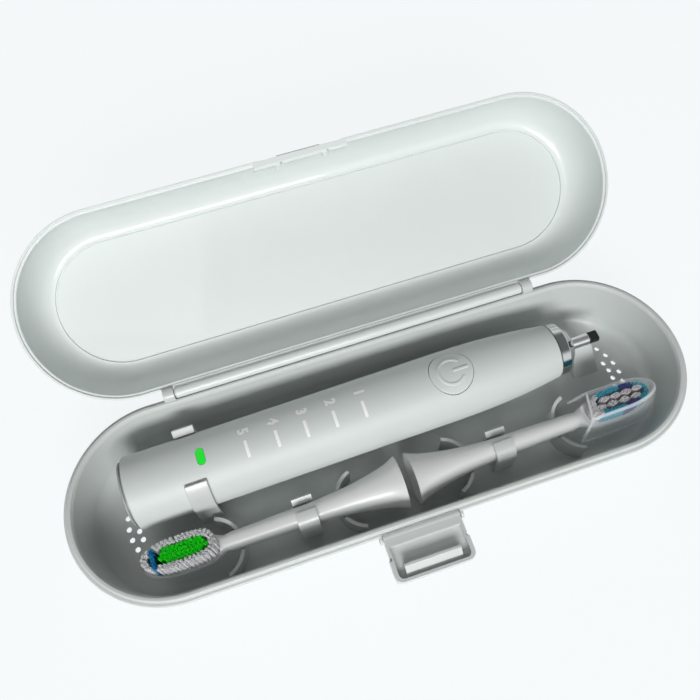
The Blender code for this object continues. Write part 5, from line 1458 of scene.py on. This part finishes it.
BRISTLES = (
    # name, places, tuft radius, height, nylon, brush, slot's colour, node's ending, seed, and where they
    # aren't the usual ones, shape and strands
    ("white", [p for p in crown_a if p[0] < ROW_U - ROW_HALF], TUFT_RADIUS, TALL_BRISTLES, white,
     "a", "white", "white", 3),
    ("white_tip", [p for p in crown_a if p[0] > ROW_U + ROW_HALF], TUFT_RADIUS, TALL_BRISTLES, white,
     "a", "white", "tip", 4),
    ("blue", [(ROW_U, (k - 2) * 1.34 * MM) for k in range(5)], 0.76 * MM, TALL_BRISTLES, blue,
     "a", "blue", "blue", 5),
    ("green", grid_places(8.4 * MM, 2.9 * MM, -1.7 * MM, 4, 1.52 * MM), 0.68 * MM,
     TALL_BRISTLES - GREEN_STEP, green, "a", "green", "green", 6),
    ("pale", [p for p in crown_b if p[0] < PALE_LOW], CROWN_B_RADIUS, LOW_BRISTLES, grey,
     "b", "grey", None, 11),
    ("teal", [p for p in crown_b if PALE_LOW < p[0] < NAVY_LOW], CROWN_B_RADIUS, LOW_BRISTLES, teal,
     "b", "teal", "teal", 7),
    ("teal_tip", [p for p in crown_b if p[0] > NAVY_HIGH], CROWN_B_RADIUS, LOW_BRISTLES, teal,
     "b", "teal", "tip", 8),
    ("navy_rear", [p for p in navy_places if p[1] > 0], CROWN_B_RADIUS, LOW_BRISTLES, navy,
     "b", "navy", "navy_rear", 9),
    ("navy_front", [p for p in navy_places if p[1] < 0], CROWN_B_RADIUS, LOW_BRISTLES, navy,
     "b", "navy", "navy_front", 9),
    ("grey", grey_places, 0.84 * MM, LOW_BRISTLES + GREEN_STEP / 2, grey,
     "b", "grey", "grey", 10, 2.25, 54),
)
for name, places, radius, height, colour, letter, tone, *rest in BRISTLES:
    bristles("bristles_" + name, places, radius, height, colour, letter, "bristle_" + tone, *rest)

# The travel cap
# A clear snap-on cover over the second brush head, open underneath and at the neck. It is one thin
# moulding with drafted walls and a blunt nose. Its top rounding, foot band and mouth corners are made
# more opaque as a painted highlight, for the light that thick rounded edges gather.
CAP_WALL = 0.0009
CAP_LENGTH = 0.0300
CAP_HALF_WIDTH = 0.0082
CAP_OVERHANG = 0.00355
CAP_FOOT = -0.0026
CAP_TOP = 0.0121
CAP_ROUNDING = 0.0010
CAP_BAND = 0.0007
CAP_BAND_END = 0.0010
CAP_SIDE_DRAFT = 0.0030
CAP_NOSE_DRAFT = 0.0042
CAP_MOUTH_RAKE = 0.0019
CAP_MOUTH_SLANT = 0.0011
CAP_NOSE_SQUARENESS = 2.2
CAP_NOSE_LENGTH = 0.0140
# Alpha of the painted highlight along the cap's edges
CAP_HIGHLIGHT_ALPHA = 0.48
CAP_FACE_ALPHA = 0.02
CAP_RIM_ALPHA = 0.75
CAP_SHARES = (0.0, 0.04, 0.08, 0.3, 0.6)
CAP_ROOF_SHARES = (0.9, 0.7, 0.45, 0.2)
cap_start = BRUSH_LENGTH + CAP_OVERHANG - CAP_LENGTH
# Each level holds a height, an inset and its share of the painted edge highlight
cap_levels = [(CAP_FOOT, 0.0, 1.0), (CAP_FOOT + CAP_BAND, 0.0, 1.0), (CAP_FOOT + CAP_BAND_END, 0.0, 0.0)]
cap_levels += [(CAP_FOOT + (CAP_TOP - CAP_ROUNDING - CAP_FOOT) * k / 5, 0.0, 0.0) for k in range(1, 6)]
cap_levels += [
    (CAP_TOP - CAP_ROUNDING * (1 - math.sin(a)), CAP_ROUNDING * (1 - math.cos(a)), math.sin(2 * a) ** 0.5)
    for a in (math.pi / 2 * k / 6 for k in range(1, 6))
]
cap_levels += [(CAP_TOP, CAP_ROUNDING, 0.0)]


def cap_line(z, drawn, narrowing=1.0):
    """The cap's plan at one height, from one corner of the mouth round the nose to the other."""
    climb = (z - CAP_FOOT) / (CAP_TOP - CAP_FOOT)
    width = (CAP_HALF_WIDTH - CAP_SIDE_DRAFT * climb - drawn) * narrowing
    nose = BRUSH_LENGTH + CAP_OVERHANG - CAP_NOSE_DRAFT * climb - drawn
    nose -= (1 - narrowing) * CAP_NOSE_LENGTH * 0.8
    root = nose - CAP_NOSE_LENGTH * max(narrowing, 0.15)
    mouth = cap_start - CAP_MOUTH_RAKE * (1 - climb)
    near, far = mouth - CAP_MOUTH_SLANT * narrowing, mouth + CAP_MOUTH_SLANT * narrowing
    round_nose = [
        (root + (nose - root) * squared(ahead, CAP_NOSE_SQUARENESS), width * squared(up, CAP_NOSE_SQUARENESS))
        for ahead, up in arc((0, 0), 1, -math.pi / 2, math.pi / 2, 48)
    ]
    return (
        [(near + (root - near) * t, -width) for t in CAP_SHARES] + round_nose
        + [(far + (root - far) * t, width) for t in reversed(CAP_SHARES)]
    )


cap_sheet = bmesh.new()
cap_highlight = cap_sheet.verts.layers.float.new("edge")
cap_rows = []
cap_levels = [(*level, 1.0) for level in cap_levels]
cap_levels += [(CAP_TOP, CAP_ROUNDING, 0.0, narrowing) for narrowing in CAP_ROOF_SHARES]
# Each point carries its share of the painted edge highlight; the two points at each mouth corner carry all of
# it
for z, drawn, highlight_share, narrowing in cap_levels:
    row = [cap_sheet.verts.new((u, v, z)) for u, v in cap_line(z, drawn, narrowing)]
    for i, vert in enumerate(row):
        vert[cap_highlight] = max(highlight_share, 1.0 if min(i, len(row) - 1 - i) < 2 else 0.0)
    cap_rows.append(row)
for near, far in zip(cap_rows, cap_rows[1:]):
    for i in range(len(near) - 1):
        cap_sheet.faces.new((near[i], near[i + 1], far[i + 1], far[i]))
last = cap_rows[-1]
for i in range((len(last) - 1) // 2):
    j = len(last) - 1 - i
    cap_sheet.faces.new(list(dict.fromkeys((last[i], last[i + 1], last[j - 1], last[j]))))
travel_cap = solid("travel_cap", cap_sheet)
wall = travel_cap.modifiers.new("wall", "SOLIDIFY")
wall.thickness = CAP_WALL
wall.offset = -1
wall.use_even_offset = True
settle(travel_cap)
travel_cap.data.transform(brush_places["b"])
clear_plastic = Finish("clear_plastic", (0.90, 0.95, 0.95), 0.06, coat_weight=0.3)
grazing = clear_plastic.node("ShaderNodeLayerWeight", None, {"Blend": 0.35}, outlet=1)
# The edge attribute marks the painted highlight on the top rounding, the foot band and the mouth corners
rim = clear_plastic.node("ShaderNodeAttribute", {"attribute_name": "edge"}, outlet=2)
thick = clear_plastic.maths("POWER", grazing, 3.0) * CAP_RIM_ALPHA
clear_plastic.set("Alpha", clear_plastic.maths("MAXIMUM", thick, rim * CAP_HIGHLIGHT_ALPHA) + CAP_FACE_ALPHA)
clear_plastic.uneven(260, 0.02).grain(420, 0.000004)
dress(travel_cap, clear_plastic, "cap", "clear_plastic", "travel_cap", edge=0.0002, sharp=45)

# What is hidden inside the handle and the brush heads
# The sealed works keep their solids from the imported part, and a frame in the housing carries them. Each has
# the finish of what it is made of: rubber, shrink wrap, board, copper wire, steel and plastic.
rubber = Finish("seal_rubber", (0.035, 0.035, 0.038), 0.72).mottle(700, 0.10).grain(2400, 0.000008)
wrap = Finish("cell_wrap", (0.06, 0.17, 0.42), 0.32).mottle(120, 0.05).uneven(240, 0.06)
board = Finish("board_green", (0.02, 0.17, 0.07), 0.45).mottle(1600, 0.22).grain(1800, 0.00001)
copper = Finish(
    "copper_wire", (0.62, 0.30, 0.14), 0.34, metallic=1.0
).mottle(1500, 0.12, (7.0, 0.3, 0.3)).grain(1200, 0.00003, stretch=(7.0, 0.3, 0.3))
carrier = Finish("carrier_plastic", (0.08, 0.08, 0.085), 0.5).mottle(300, 0.08).grain(2600, 0.000006)
for node, finish in (
    ("end_cap_gasket", rubber), ("shaft_seal", rubber), ("drive_motor", steel), ("battery_cell", wrap),
    ("circuit_board", board), ("button_switch", steel), ("charging_coil", copper), ("inner_frame", carrier),
    ("shaft_coupling_a", steel), ("shaft_coupling_b", steel),
):
    hidden = frame["nodes"][node]
    for slot_place in hidden.material_slots:
        slot_place.material = finish.material

low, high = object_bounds()
